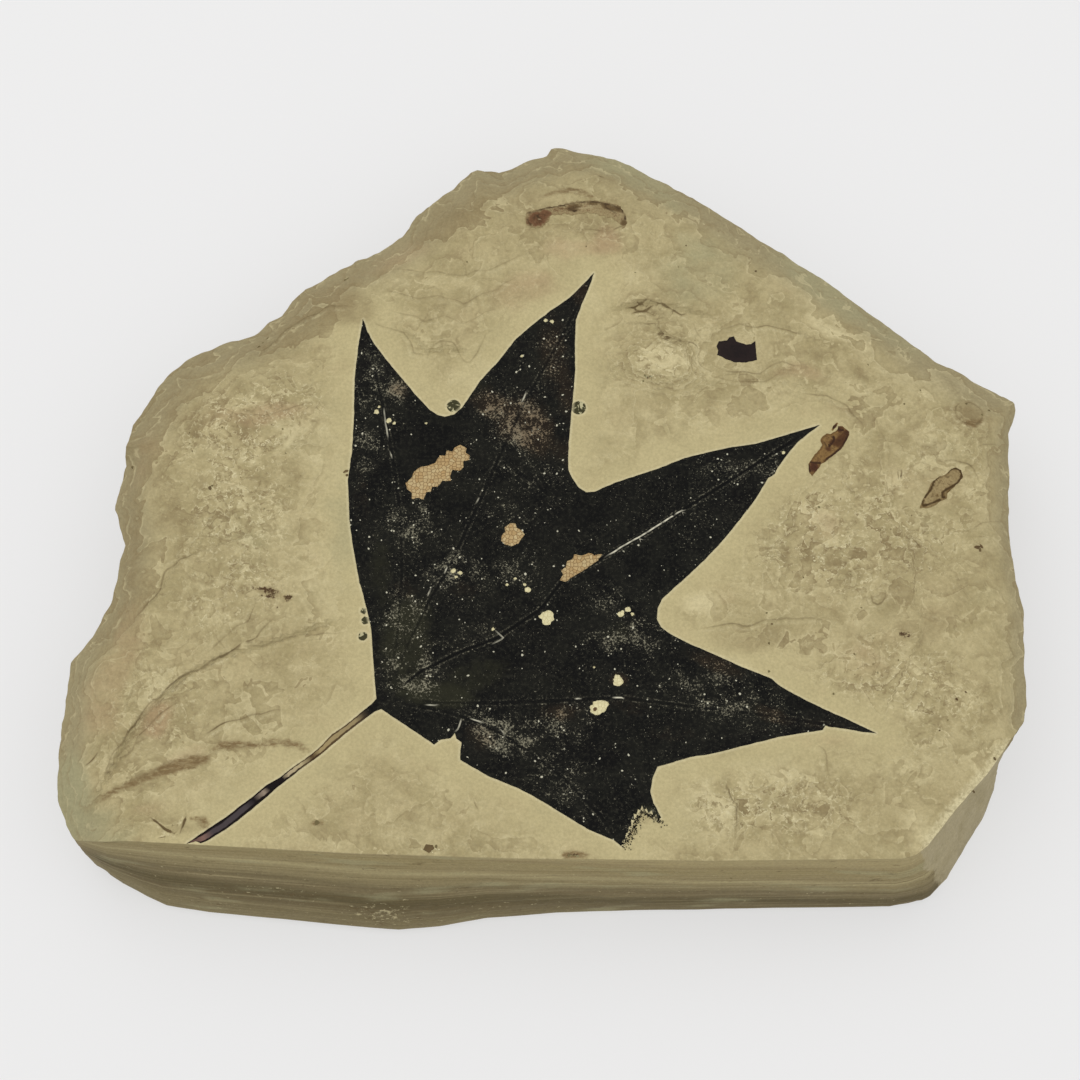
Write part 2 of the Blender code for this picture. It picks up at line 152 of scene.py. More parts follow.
slabShape = {
    "face": 26.0,
    "reach": (95.05, 81.95),  # the plan stays within this half width and half depth
    "highest": 1.15,         # above the face's middle
    "blank": (96.0, 84.0),   # half width and depth of the sheet that the face is cut from
    "cell": 0.78,            # spacing of the top face's mesh
    "wallRows": 42,
    "sharp": 32.0,           # edges steeper than this, in degrees, are drawn hard
    "sawn": [
        (-89.6, -69.9), (-85, -70.8), (-64, -72), (-38, -73.5), (-8, -74.5), (30, -75), (67.3, -74.6),
        (69.8, -73.9),
    ],
    "corner": [(72.2, -72), (75, -68.5), (78.5, -64), (84.5, -57.5), (88.5, -52)],
    "right": [
        (92.5, -46), (93.5, -39), (93.5, -28.5), (93.8, -22.5), (92.4, -13), (92, -7), (92.5, 7),
        (93.5, 15), (95.1, 21.5),
    ],
    "backRight": [
        (92, 24.5), (84.5, 29), (79.5, 32), (72.5, 38), (62.5, 46.5), (56.5, 51.5), (48.5, 57),
        (40.5, 63), (32, 69), (23.5, 74), (18, 77.5), (11, 80), (4.5, 81.5), (1.5, 82),
    ],
    "backLeft": [
        (0, 80.3), (-5.5, 78.5), (-10, 76), (-15.5, 77), (-22.5, 70), (-27, 66), (-30.3, 61),
        (-35, 57.5), (-43, 53.5), (-49, 49.5), (-55, 43), (-61, 38), (-66, 36.5), (-74, 32.8),
        (-78, 28.5), (-81, 23.5), (-84.3, 17),
    ],
    "left": [
        (-85, 9), (-87, 0), (-84.5, -8), (-86.5, -20), (-89.5, -27), (-93.5, -32.5),
        (-94.5, -43), (-95.1, -56.5), (-94.5, -61.5), (-92.8, -66), (-91, -68.9),
    ],
    # fall of the face to each broken edge: stretch, width, drop
    "falls": [
        ("backRight", 16.0, 5.5), ("backLeft", 18.0, 6.0), ("left", 13.0, 6.0), ("right", 9.0, 4.0),
        ("corner", 3.0, 0.8),
    ],
    "tread": 1.4,
    "fineTread": 0.42,
    "treadShares": (0.3, 0.14),  # of coarse and fine treads in the fall; the rest is smooth
    # lower left corner, where the wall keeps no ledges: x, y, inner and outer reach, shift of the foot
    "footCorner": (-91.0, -69.0, 6.0, 20.0, 1.6, 0.4),
    "footCurve": 1.9,        # how late on the way down that shift sets in
    "beds": [(0.0, 5.0, 3.6), (5.8, 10.0, 2.2), (10.6, 14.4, 3.0), (15.2, 18.8, 1.4), (19.6, 29.0, 0.0)],
    "lamina": 0.95,
    # how far the sawn face leans out at its foot, by x
    "sawLeans": [
        (-90, 0), (-85, 2.2), (-80, 4.3), (-75, 5.8), (-66, 6.6), (-47, 7.4), (-29, 8.25), (-21, 7.3),
        (-12, 5.3), (2, 3.9), (18, 3.2), (35, 2.8), (68, 2.7),
    ],
    "cornerLeans": [(67.3, 2.7), (69.8, 3.2), (72.2, 4.6), (75, 5), (78.5, 4.3), (84.5, 3), (88.5, 1.2)],
    "facetFrom": (74.5, 0.13),  # x where the broken facet begins, at the foot and less for each mm up
    "baseArris": 1.2,
    "undersideRings": (0.985, 0.96, 0.93, 0.89, 0.83, 0.72, 0.55, 0.35, 0.15),  # shares of the foot's outline
    "undersideCentre": (0.0, -4.0),
    "spallEdge": 1.2,        # width of the slope round a spall of the underside
    "calm": (2.0, 8.0),      # the face is level this near to a film, and uneven from here on
    "swell": (0.5, 34.0),    # height, size
    "mound": (24, 29, 14, 8, 1.1),  # x, y, half width, half depth, height
    "flake": 0.3,
    "layer": 0.42,           # thickness of the layers whose torn edges show as bands
    "fallLayer": 1.0,        # and of those down the falls to the broken edges
    # scarps: line with its high side on the left, height, width of the slope behind it
    "scarps": [
        ([(-84, -57), (-79, -46), (-71.5, -38.5), (-65, -34.5), (-55.5, -31.5), (-46, -28)], 0.8, 16.0),
        ([(-36, 38), (-27, 35), (-24, 31.5), (-20.5, 33), (-15.5, 31), (-12, 34), (-6, 41)], 0.7, 14.0),
        ([(14, 41.5), (19, 43), (24, 42.5), (31, 40.5)], 0.7, 8.0),
        ([(-66, -11), (-72.5, -13.5), (-76, -20), (-81, -26)], 0.7, 12.0),
        ([(15.9, 41.6), (18.8, 42.9), (20.2, 42), (22.2, 40.8), (27, 38.6)], 0.35, 3.0),
        ([(18.8, 38.2), (21.8, 38.2), (23.1, 36.9), (24.1, 35), (27.2, 33.9), (30.8, 32), (33, 28)],
          -0.5, 4.0),
        ([(32, 33), (33.8, 35.6), (35.6, 37.1), (41.7, 37.9), (49.4, 37.1), (56, 34)], 0.35, 5.0),
        ([(27.8, -28.8), (37.6, -27.3), (46.4, -25.9), (56.8, -26.2)], 0.22, 4.0),
        ([(33.4, -59), (35.2, -62.4), (36.3, -63.6), (35.6, -71), (34.2, -76)], -0.4, 5.0),
        ([(-88, -62.7), (-79.7, -59), (-72.8, -55.2), (-65, -53.4), (-52, -50.6)], 0.3, 5.0),
        ([(-4.6, 62), (-2, 64.6), (5.8, 66.6), (14.7, 66), (17, 61.5)], 0.3, 4.0),
        ([(-59.6, 32.2), (-56.8, 34.4), (-53.5, 38.4), (-45.1, 42.7), (-38.5, 42.3)], 0.35, 7.0),
        ([(48, 28), (58, 20), (66, 10), (68, 0), (72, -12), (73, -30), (66, -44)], 0.4, 6.0),
    ],
    "spalls": [
        ([(16, 64), (30, 56), (41, 49), (55, 38), (63, 33), (82, 22), (112, 16), (112, 60), (30, 98)],
          2.0),
        ([(-76, 22), (-70, 9), (-74, -6), (-79, -20), (-84, -31), (-112, -36), (-112, 28)], 1.5),
    ],
    # where the face is scaly with thin flakes: blobs
    "scaly": [
        (-60, 16, 24, 13, 15, 1.0), (-62, -4, 20, 14, 70, 0.9), (-62, -22, 16, 10, 30, 0.7),
        (60, -8, 30, 20, 0, 0.9), (66, -42, 24, 16, 0, 0.9), (42, -64, 24, 9, 0, 1.0),
        (80, 6, 13, 14, 0, 0.6), (24, 29, 14, 9, 0, 0.8), (-30, -64, 22, 8, 0, 0.08),
        (-76, -44, 14, 12, 40, 0.5), (36, 8, 12, 8, 20, 0.3),
    ],
}

leafShape = {
    "leftMargin": [
        (-33.2, -42.6), (-33.8, -36.5), (-34.5, -28), (-36.2, -21), (-37, -18.5), (-38.6, -10),
        (-39.3, -5), (-39.8, 3.5), (-39.1, 10), (-38.9, 18), (-39, 25.5), (-38.4, 33), (-37.6, 39.2),
    ],
    "sinus1": [
        (-36.6, 36.2), (-35.2, 33.6), (-32.4, 29.6), (-29.6, 26), (-26.5, 22), (-23.7, 18.8),
        (-22.2, 17.7), (-20.6, 17.3), (-18.8, 17.8), (-17.2, 19.3),
    ],
    "lobe2": [
        (-13.6, 25.2), (-9.6, 30), (-6.6, 34.4), (-3.5, 37.4), (0.6, 41), (4.6, 44), (7.3, 47),
        (9.6, 49.7), (8.9, 47.4), (8.3, 45.8), (7, 42.4), (5.8, 39), (5.6, 34), (5.6, 27.3),
        (5, 20), (4.3, 12.2),
    ],
    "sinus2": [(4.1, 7.8), (4.2, 5.6), (4.9, 3.9), (6.2, 1.9), (7.7, 0.8), (9.4, 0.9), (13.3, 2.8)],
    "lobe3": [
        (22.3, 6), (27.4, 8.2), (32.5, 9.6), (37, 10.6), (41.6, 11.3), (47, 13), (51.3, 14.4),
        (54.7, 15.5), (52.8, 14), (50.2, 11.8), (48.4, 9.6), (46, 6.2), (45.4, 4.8), (44, 3.9),
        (41.4, -0.6), (38.2, -5), (34.6, -9.6), (30.9, -13.7), (27.4, -17.2), (24.4, -20),
    ],
    "sinus3": [(22.4, -22), (21.6, -23.8), (21.4, -26.1), (22.2, -27.9), (23.9, -29.2)],
    "lobe4": [
        (27.8, -31.4), (31.8, -33.2), (37.6, -36), (43.5, -38.5), (45, -40), (49.4, -42.6),
        (53.2, -44.6), (58.6, -47.2), (63.3, -49.6), (60.4, -49.3), (57.4, -48.7), (54.3, -48.3),
        (53.6, -48), (53, -49), (48.8, -49.6), (44.4, -50.4), (39.4, -51.7), (34.5, -53),
        (30.8, -53.9), (27.3, -54.4), (24, -55.5), (21, -56.4),
    ],
    "sinus4": [(20.1, -58.6), (19.6, -61.4), (20.2, -63.7), (21.2, -65.6)],
    "tornLobe5": [
        (21.6, -66.5), (21, -67), (20.7, -65.9), (20.2, -66.4), (19.8, -65.1), (19.2, -65.7),
        (18.8, -64.6), (18.4, -65.1), (18, -64.1), (17.6, -65.2), (17.2, -64.7), (16.9, -65.9),
        (16.4, -65.7), (16.4, -67), (15.9, -66.9), (15.9, -68.2), (15.4, -68.3), (15.3, -69.4),
        (14.9, -69.7), (14.7, -70.8), (14.2, -71.1), (13.9, -72.2),
    ],
    "lowerMargin": [
        (12.6, -71), (8, -69), (5.4, -67.4), (1.6, -65), (-0.5, -63.6), (-5.4, -60.8),
        (-11.1, -58.4), (-16.8, -55), (-16.8, -53.2), (-16.6, -51.5), (-17.6, -50.7),
        (-17.9, -49.5), (-18.7, -50.6), (-20.6, -50.9), (-21.9, -51.9), (-25.4, -49.4),
        (-28.9, -47), (-32.2, -44.7),
    ],
    "stalkLower": [
        (-33.5, -45.2), (-35.5, -46.8), (-38.1, -48.9), (-40.6, -51.1), (-43.4, -53.7), (-44.9, -54.9),
        (-47, -56.5), (-48.3, -57.6), (-51.7, -60.4), (-54.2, -62.8), (-56.8, -65.1), (-59.7, -67.6),
        (-62.2, -69.4), (-64.8, -71.1), (-66, -71.6), (-67, -71.2),
    ],
    "stalkUpper": [
        (-68.7, -71.7), (-66.1, -69.8), (-63.6, -68), (-61.1, -66.2), (-59, -64.4), (-56.4, -62.4),
        (-53.9, -60.1), (-51.3, -58.5), (-49.2, -56.7), (-47.3, -55.3), (-45.2, -53.7), (-44.1, -52.7),
        (-41.5, -49.8), (-39, -48), (-36.4, -45.7), (-34.2, -43.8),
    ],
    "patches": [
        [(-28.3, 2.8), (-27.9, 1.4), (-27, 0.6), (-27, -0.7), (-25.9, -0.4), (-24.7, -0.8), (-24.2, 0.7),
         (-23.2, 0.9), (-23.1, 1.9), (-21.9, 2), (-21, 3.3), (-19.2, 3.3), (-19.5, 4.4), (-18.9, 5.7),
         (-17.6, 5.5), (-16.8, 6.2), (-16.8, 7.6), (-15.6, 7.8), (-15.6, 8.8), (-16.4, 9.4),
         (-16.2, 10.4), (-17.5, 11.2), (-18.6, 10.6), (-19, 9.7), (-20.2, 9.9), (-20.5, 8.7),
         (-21.6, 8.9), (-22.5, 7.2), (-23.9, 6.6), (-25.4, 6.4), (-26.7, 5.2), (-27, 4.2)],
        [(-9.2, -9.6), (-9.1, -8.4), (-8.4, -7.7), (-8.5, -6.7), (-7.4, -5.8), (-6.3, -5.9), (-6.1, -6.8),
         (-5.3, -7.2), (-4.5, -8.2), (-5.2, -9.2), (-5.8, -10.2), (-7.2, -10.8), (-8.5, -10.4)],
        [(2.4, -18), (3, -16.8), (2.7, -15.8), (3.6, -15.2), (3.8, -13.9), (4.9, -13.5), (5.2, -12.5),
         (6.8, -12.7), (8.4, -12.2), (9.2, -12.6), (10.9, -12.4), (9.9, -13.8), (7.8, -15.5),
         (5.4, -17), (3.6, -18.3)],
    ],
    # smaller places where the film has gone, clear of each other and the margin: x, y, radius
    "paleSpots": [
        (-0.2, -25.9, 1.5), (9.6, -44.3, 1.75), (14.4, -25, 0.75), (15.75, -24.1, 0.6),
        (16.6, -25.1, 0.4), (13.7, -38.8, 1.05), (-3.9, -20, 0.6), (-4.5, -18.9, 0.38),
        (-34.4, 18.4, 0.6), (-33.9, 19.5, 0.35), (-31.9, 16.4, 0.6), (-30.8, 15.9, 0.38),
        (-0.35, 38.8, 0.45), (0.95, 38.6, 0.48), (-18.6, -16, 0.55), (-17.3, -16.4, 0.45),
        (-18, -17.3, 0.35), (47.3, 9.4, 0.4), (-5.2, 30.8, 0.3), (-24.4, 15.9, 0.3), (-8, -18.9, 0.35),
        (-6.4, -17.6, 0.3), (-10.7, -28.2, 0.35), (9, -36.1, 0.25),
    ],
}
leafOutline = [
    point
    for part in ("leftMargin", "sinus1", "lobe2", "sinus2", "lobe3", "sinus3", "lobe4", "sinus4",
                 "tornLobe5", "lowerMargin", "stalkLower", "stalkUpper")
    for point in leafShape[part]
]

smallOutlines = {
    "barkStrip": [
        (-4.6, 62.6), (-4.5, 61), (-3.2, 60.2), (-1.1, 60.1), (0.2, 61.6), (0.5, 62.9), (3.1, 63.4),
        (5.4, 63.1), (8.5, 63.7), (11, 63), (13.4, 62.4), (15.1, 61), (15.5, 59.9), (16.5, 61.1),
        (16.1, 63.5), (14.7, 65.6), (12.4, 66.2), (9.8, 66.6), (5.8, 66.3), (3, 65.5), (0.2, 65),
        (-2.5, 64.4), (-4.4, 63.9),
    ],
    "leafScrap": [
        (34.4, 31), (35.4, 30.7), (36, 30.2), (38, 29.4), (40.2, 29.4), (42.5, 29.9), (42.2, 34.2),
        (41.4, 33.5), (40.4, 33.4), (38.4, 34.1), (37.9, 35.2), (37, 35), (36.5, 34.3), (34.8, 34.1),
        (34.4, 33), (34.7, 32),
    ],
    "insectBody": [
        (52.1, 6.1), (52.4, 4.9), (52.8, 4.3), (53.6, 5.4), (54.3, 6.1), (54.6, 6.9), (55.2, 7.2),
        (56.5, 8.3), (57.5, 9.1), (58.7, 10.1), (59.4, 11.1), (60.1, 12.4), (60.6, 13.4), (60.6, 14),
        (59.8, 14.6), (59.2, 15.3), (58.4, 15.2), (58.2, 14.4), (57.7, 14.1), (56.8, 13.5), (56.1, 13.6),
        (55.3, 13), (54.7, 12.3), (55, 11.1), (54.4, 10), (53.3, 8.7), (52.5, 7.5), (52.2, 7),
    ],
    "wingedInsect": [
        (73.9, -2.6), (74.4, -1.4), (74.8, -0.4), (75.8, 1.2), (76.5, 2.9), (78.2, 4.2), (79.4, 4.6),
        (80.6, 5.8), (81.6, 6.2), (82.6, 5.6), (82.9, 4.2), (82.1, 3), (80.6, 1.6), (79.6, 0.6),
        (79.4, -0.6), (78.2, -1), (77.2, -1.9), (75.6, -2.6),
    ],
}


def fineStep(fall, tread, low=0.3, high=0.8):
    treads = np.floor(fall / tread)
    return tread * (treads + smoothstep(low, high, fall / tread - treads))


def faceRelief(points):
    # height of the split face above its flat middle, and what the finish needs to know of each point
    s = slabShape
    fall = np.zeros(len(points))
    for name, width, drop in s["falls"]:
        gap = nearLine(points, s[name])[0]
        fall = np.maximum(fall, drop * np.clip(1.0 - gap / width, 0.0, 1.0) ** 2)
    leafGap = np.where(insideOf(points, leafOutline), 0.0, nearLine(points, leafOutline, True)[0])
    calm = leafGap.copy()
    for outline in smallOutlines.values():
        gap = np.where(insideOf(points, outline), 0.0, nearLine(points, outline, True)[0])
        calm = np.minimum(calm, gap)
    away = smoothstep(*s["calm"], calm) * smoothstep(0.0, 6.0, nearLine(points, s["sawn"])[0])
    height, size = s["swell"]
    swell = height * noiseAt(points, size, 3.0 / size)
    x, y, radiusX, radiusY, height = s["mound"]
    reach = np.hypot((points[:, 0] - x) / radiusX, (points[:, 1] - y) / radiusY)
    swell += height * (1.0 - smoothstep(0.2, 1.0, reach))
    for line, height, width in s["scarps"]:
        gap, side, _ = nearLine(points, line)
        swell += height * 0.5 * side * (1.0 - smoothstep(0.0, width, gap))
    scaly = np.clip(blobsAt(points, s["scaly"]), 0.0, 1.0) * smoothstep(1.0, 6.0, calm)
    flakes = noiseAt(points, 6.0, 5.0, 5)
    wobble = noiseAt(points, 9.0, 11.0, 3) * smoothstep(0.2, 1.5, fall)
    coarse, fine = s["treadShares"]
    drop = coarse * fineStep(fall, s["tread"]) + (1.0 - coarse - fine) * fall
    drop += fine * fineStep(np.maximum(fall + 0.4 * wobble, 0.0), s["fineTread"])
    height = away * swell - drop + s["flake"] * scaly * fineStep(flakes * 2.2, 0.5, 0.35, 0.65)
    height = np.minimum(height, s["highest"])
    climb = 1.6 * away * swell / s["layer"] - fall / s["fallLayer"] + 0.7 * noiseAt(points, 13.0, 17.0, 2)
    return height, {"fall": fall, "leafGap": leafGap, "scaly": scaly, "climb": climb}


def blurred(values):
    # along a closed outline
    return sum(np.roll(values, k) for k in (-2, -1, 0, 1, 2)) / 5.0


def slabPlan():
    # dense outline of the slab, its outward normals, and each point's share in the sawn face and the corner
    s = slabShape
    points, sawn, corner = [], [], []
    runs = [  # line, roughness, and whether it is the sawn face or the corner
        (s["sawn"], 0.03, 1.0, 0.0), ([s["sawn"][-1], *s["corner"]], 0.12, 0.0, 1.0),
        ([s["corner"][-1], *s["right"]], 0.5, 0.0, 0.0),
        ([s["right"][-1], *s["backRight"]], 0.4, 0.0, 0.0),
        ([s["backRight"][-1], *s["backLeft"]], 0.6, 0.0, 0.0),
        ([s["backLeft"][-1], *s["left"]], 0.5, 0.0, 0.0),
        ([s["left"][-1], s["sawn"][0]], 0.3, 0.0, 0.0),
    ]
    for line, rough, isSawn, isCorner in runs:
        for x, y in densified(line, 0.9, closed=False)[:-1]:
            slow = noise.noise(Vector((x / 4.5, y / 4.5, 2.0)))
            quick = noise.noise(Vector((x / 1.6, y / 1.6, 6.0)))
            points.append((x, y, rough * (slow + 0.5 * quick)))
            sawn.append(isSawn)
            corner.append(isCorner)
    raw = np.array(points)
    plan, shift = raw[:, :2], raw[:, 2]
    across = np.roll(plan, -4, axis=0) - np.roll(plan, 4, axis=0)
    normals = np.stack([across[:, 1], -across[:, 0]], axis=1)
    normals /= np.linalg.norm(normals, axis=1)[:, None]
    plan = np.clip(plan + normals * shift[:, None], (-s["reach"][0], -s["reach"][1]), s["reach"])
    return plan, normals, blurred(np.array(sawn)), blurred(np.array(corner))


def bedSetBack(x, y):
    # set-back of each bed at one place on the wall
    bites = []
    for bed, (_, _, most) in enumerate(slabShape["beds"]):
        bite = noise.noise(Vector((x, y, 40.0 * bed)) / 13.0)
        bites.append(most * (0.75 + 0.5 * bite))
    return bites


def footShare(plan):
    footX, footY, near, far = slabShape["footCorner"][:4]
    return 1.0 - smoothstep(near, far, np.hypot(plan[:, 0] - footX, plan[:, 1] - footY))


def wallOffsets(plan, sawn, corner, height):
    # how far the wall stands out from the plan at each station, for one height per station
    s = slabShape
    beds = s["beds"]
    levels, backs = [], []
    for bed, (low, high, _) in enumerate(beds):
        levels += [low, high]
        backs += [bed, bed]
    setBacks = np.array([bedSetBack(x, y) for x, y in plan])
    broken = np.array([-np.interp(z, levels, row[backs]) for z, row in zip(height, setBacks)])
    lamina = np.floor(height / s["lamina"] + 0.35 * noiseAt(plan, 16.0, 7.0))
    ledge = np.array([noise.noise(Vector((x / 8.0, y / 8.0, 5.3 * k))) for (x, y), k in zip(plan, lamina)])
    chips = np.array([
        noise.fractal(Vector((x / 3.2, y / 3.2, z / 1.7)), 0.7, 2.1, 3)
        for (x, y), z in zip(plan, height)
    ])
    broken += np.minimum(0.75 * ledge + 0.32 * chips - 0.25, 0.05) * smoothstep(0.0, 1.5, s["face"] - height)
    broken += (0.12 * chips - broken) * footShare(plan)
    x = plan[:, 0]
    lean = np.interp(x, *zip(*s["sawLeans"]))
    upright = 1.0 - smoothstep(0.0, s["face"], height)
    rough = smoothstep(-34.0, -22.0, x) * (1.0 - smoothstep(6.0, 22.0, x))
    rough = rough + smoothstep(-46.0, -36.0, x) * 0.5
    rough = rough * smoothstep(1.5, 4.0, height) * (1.0 - smoothstep(8.0, 12.0, height))
    cut = lean * upright + 0.05 * ledge + 0.16 * rough * chips
    facet = np.interp(x, *zip(*s["cornerLeans"])) * upright
    facet = facet + 0.25 * noiseAt(plan, 9.0, 21.0) + 0.1 * chips
    offset = broken * (1.0 - sawn - corner) + cut * sawn + facet * corner
    return offset - s["baseArris"] * (1.0 - smoothstep(0.0, 1.5, height)) ** 2


def buildSlab():
    s = slabShape
    plan, normals, sawn, corner = slabPlan()
    outline = [tuple(point) for point in plan]
    bm = bmesh.new()
    station = bm.verts.layers.int.new("station")
    wallRow = bm.verts.layers.int.new("wallRow")
    halfX, halfY = s["blank"]
    across, back = round(2 * halfX / s["cell"]), round(2 * halfY / s["cell"])
    bmesh.ops.create_grid(bm, x_segments=across, y_segments=back, size=1.0)
    bmesh.ops.scale(bm, vec=(halfX, halfY, 1.0), verts=bm.verts)
    outside = ~insideOf(np.array([v.co[:2] for v in bm.verts]), outline)
    bmesh.ops.delete(bm, geom=[v for v, out in zip(list(bm.verts), outside) if out], context="VERTS")
    while True:  # clears pinched corners and loose bits off the trimmed edge
        loose = [
            v for v in bm.verts
            if not v.link_faces or any(e.is_wire for e in v.link_edges)
            or sum(e.is_boundary for e in v.link_edges) > 2
            or len(v.link_faces) == 1 and len(v.link_edges) < 2
        ]
        if not loose:
            break
        bmesh.ops.delete(bm, geom=loose, context="VERTS")
    rim = [v for v in bm.verts if v.is_boundary]
    rimAt = np.array([v.co[:2] for v in rim])
    nearest = np.zeros(len(rim), int)
    spot, best = rimAt.copy(), np.full(len(rim), 1e9)
    for i, (a, b) in enumerate(zip(plan, np.roll(plan, -1, axis=0))):
        along = np.clip((rimAt - a) @ (b - a) / max((b - a) @ (b - a), 1e-9), 0.0, 1.0)
        place = a + along[:, None] * (b - a)
        gap = np.linalg.norm(rimAt - place, axis=1)
        nearer = gap < best
        best[nearer], nearest[nearer], spot[nearer] = gap[nearer], i, place[nearer]
    for vert, (x, y) in zip(rim, spot):
        vert.co.x, vert.co.y = x, y
    heights, _ = faceRelief(np.array([v.co[:2] for v in bm.verts]))
    for vert, height in zip(bm.verts, heights):
        vert.co.z = s["face"] + height
    top = np.array([v.co.z for v in rim])
    for i, vert in enumerate(rim):
        vert[station] = i + 1
    print("slab face", len(bm.verts), "points, rim", len(rim))

    edges = [e for e in bm.edges if e.is_boundary]
    rimNormals, rimSawn, rimCorner = normals[nearest], sawn[nearest], corner[nearest]
    atFoot = footShare(spot)[:, None] * np.array(s["footCorner"][4:])
    for row in range(1, s["wallRows"] + 1):
        level = top * (1.0 - row / s["wallRows"])
        slope = np.clip(1.0 - level / s["face"], 0.0, 1.0) ** s["footCurve"]
        out = wallOffsets(spot, rimSawn, rimCorner, level)
        base = spot + rimNormals * out[:, None] + atFoot * slope[:, None]
        raised = bmesh.ops.extrude_edge_only(bm, edges=edges)["geom"]
        edges = [item for item in raised if isinstance(item, bmesh.types.BMEdge) and item.is_boundary]
        for item in raised:
            if isinstance(item, bmesh.types.BMVert):
                i = item[station] - 1
                item.co = (base[i, 0], base[i, 1], level[i])
                item[wallRow] = row

    centre = np.array(s["undersideCentre"])
    for share in s["undersideRings"]:
        ring = centre + (base - centre) * share
        lift = np.zeros(len(ring))
        for outlineOfSpall, depth in s["spalls"]:
            gap, _, _ = nearLine(ring, outlineOfSpall, True)
            hollow = depth * smoothstep(0.0, s["spallEdge"], gap)
            lift = np.maximum(lift, insideOf(ring, outlineOfSpall) * hollow)
        raised = bmesh.ops.extrude_edge_only(bm, edges=edges)["geom"]
        edges = [item for item in raised if isinstance(item, bmesh.types.BMEdge) and item.is_boundary]
        for item in raised:
            if isinstance(item, bmesh.types.BMVert):
                i = item[station] - 1
                item.co = (ring[i, 0], ring[i, 1], lift[i])
    bmesh.ops.holes_fill(bm, edges=edges, sides=0)
    bmesh.ops.triangulate(bm, faces=[f for f in bm.faces if len(f.verts) > 4])
    bmesh.ops.recalc_face_normals(bm, faces=bm.faces)
    stations = np.array([v[station] for v in bm.verts])
    onTop = np.array([v[wallRow] == 0 for v in bm.verts])
    return bm, stations, onTop, rimSawn, rimCorner


def toObject(name, bm, sharp=None):
    bmesh.ops.scale(bm, vec=(mm, mm, mm), verts=bm.verts)
    mesh = bpy.data.meshes.new(name)
    bm.to_mesh(mesh)
    bm.free()
    for polygon in mesh.polygons:
        polygon.use_smooth = True
    if sharp:
        mesh.set_sharp_from_angle(angle=math.radians(sharp))
    piece = bpy.data.objects.new(name, mesh)
    bpy.context.scene.collection.objects.link(piece)
    return piece


def paint(piece, fields):
    for name, values in fields.items():
        layer = piece.data.attributes.new(name, "FLOAT", "POINT")
        layer.data.foreach_set("value", np.asarray(values, np.float32))


# lines, stains and tones on the face: lines are (points, strength, share of the length that fades out)

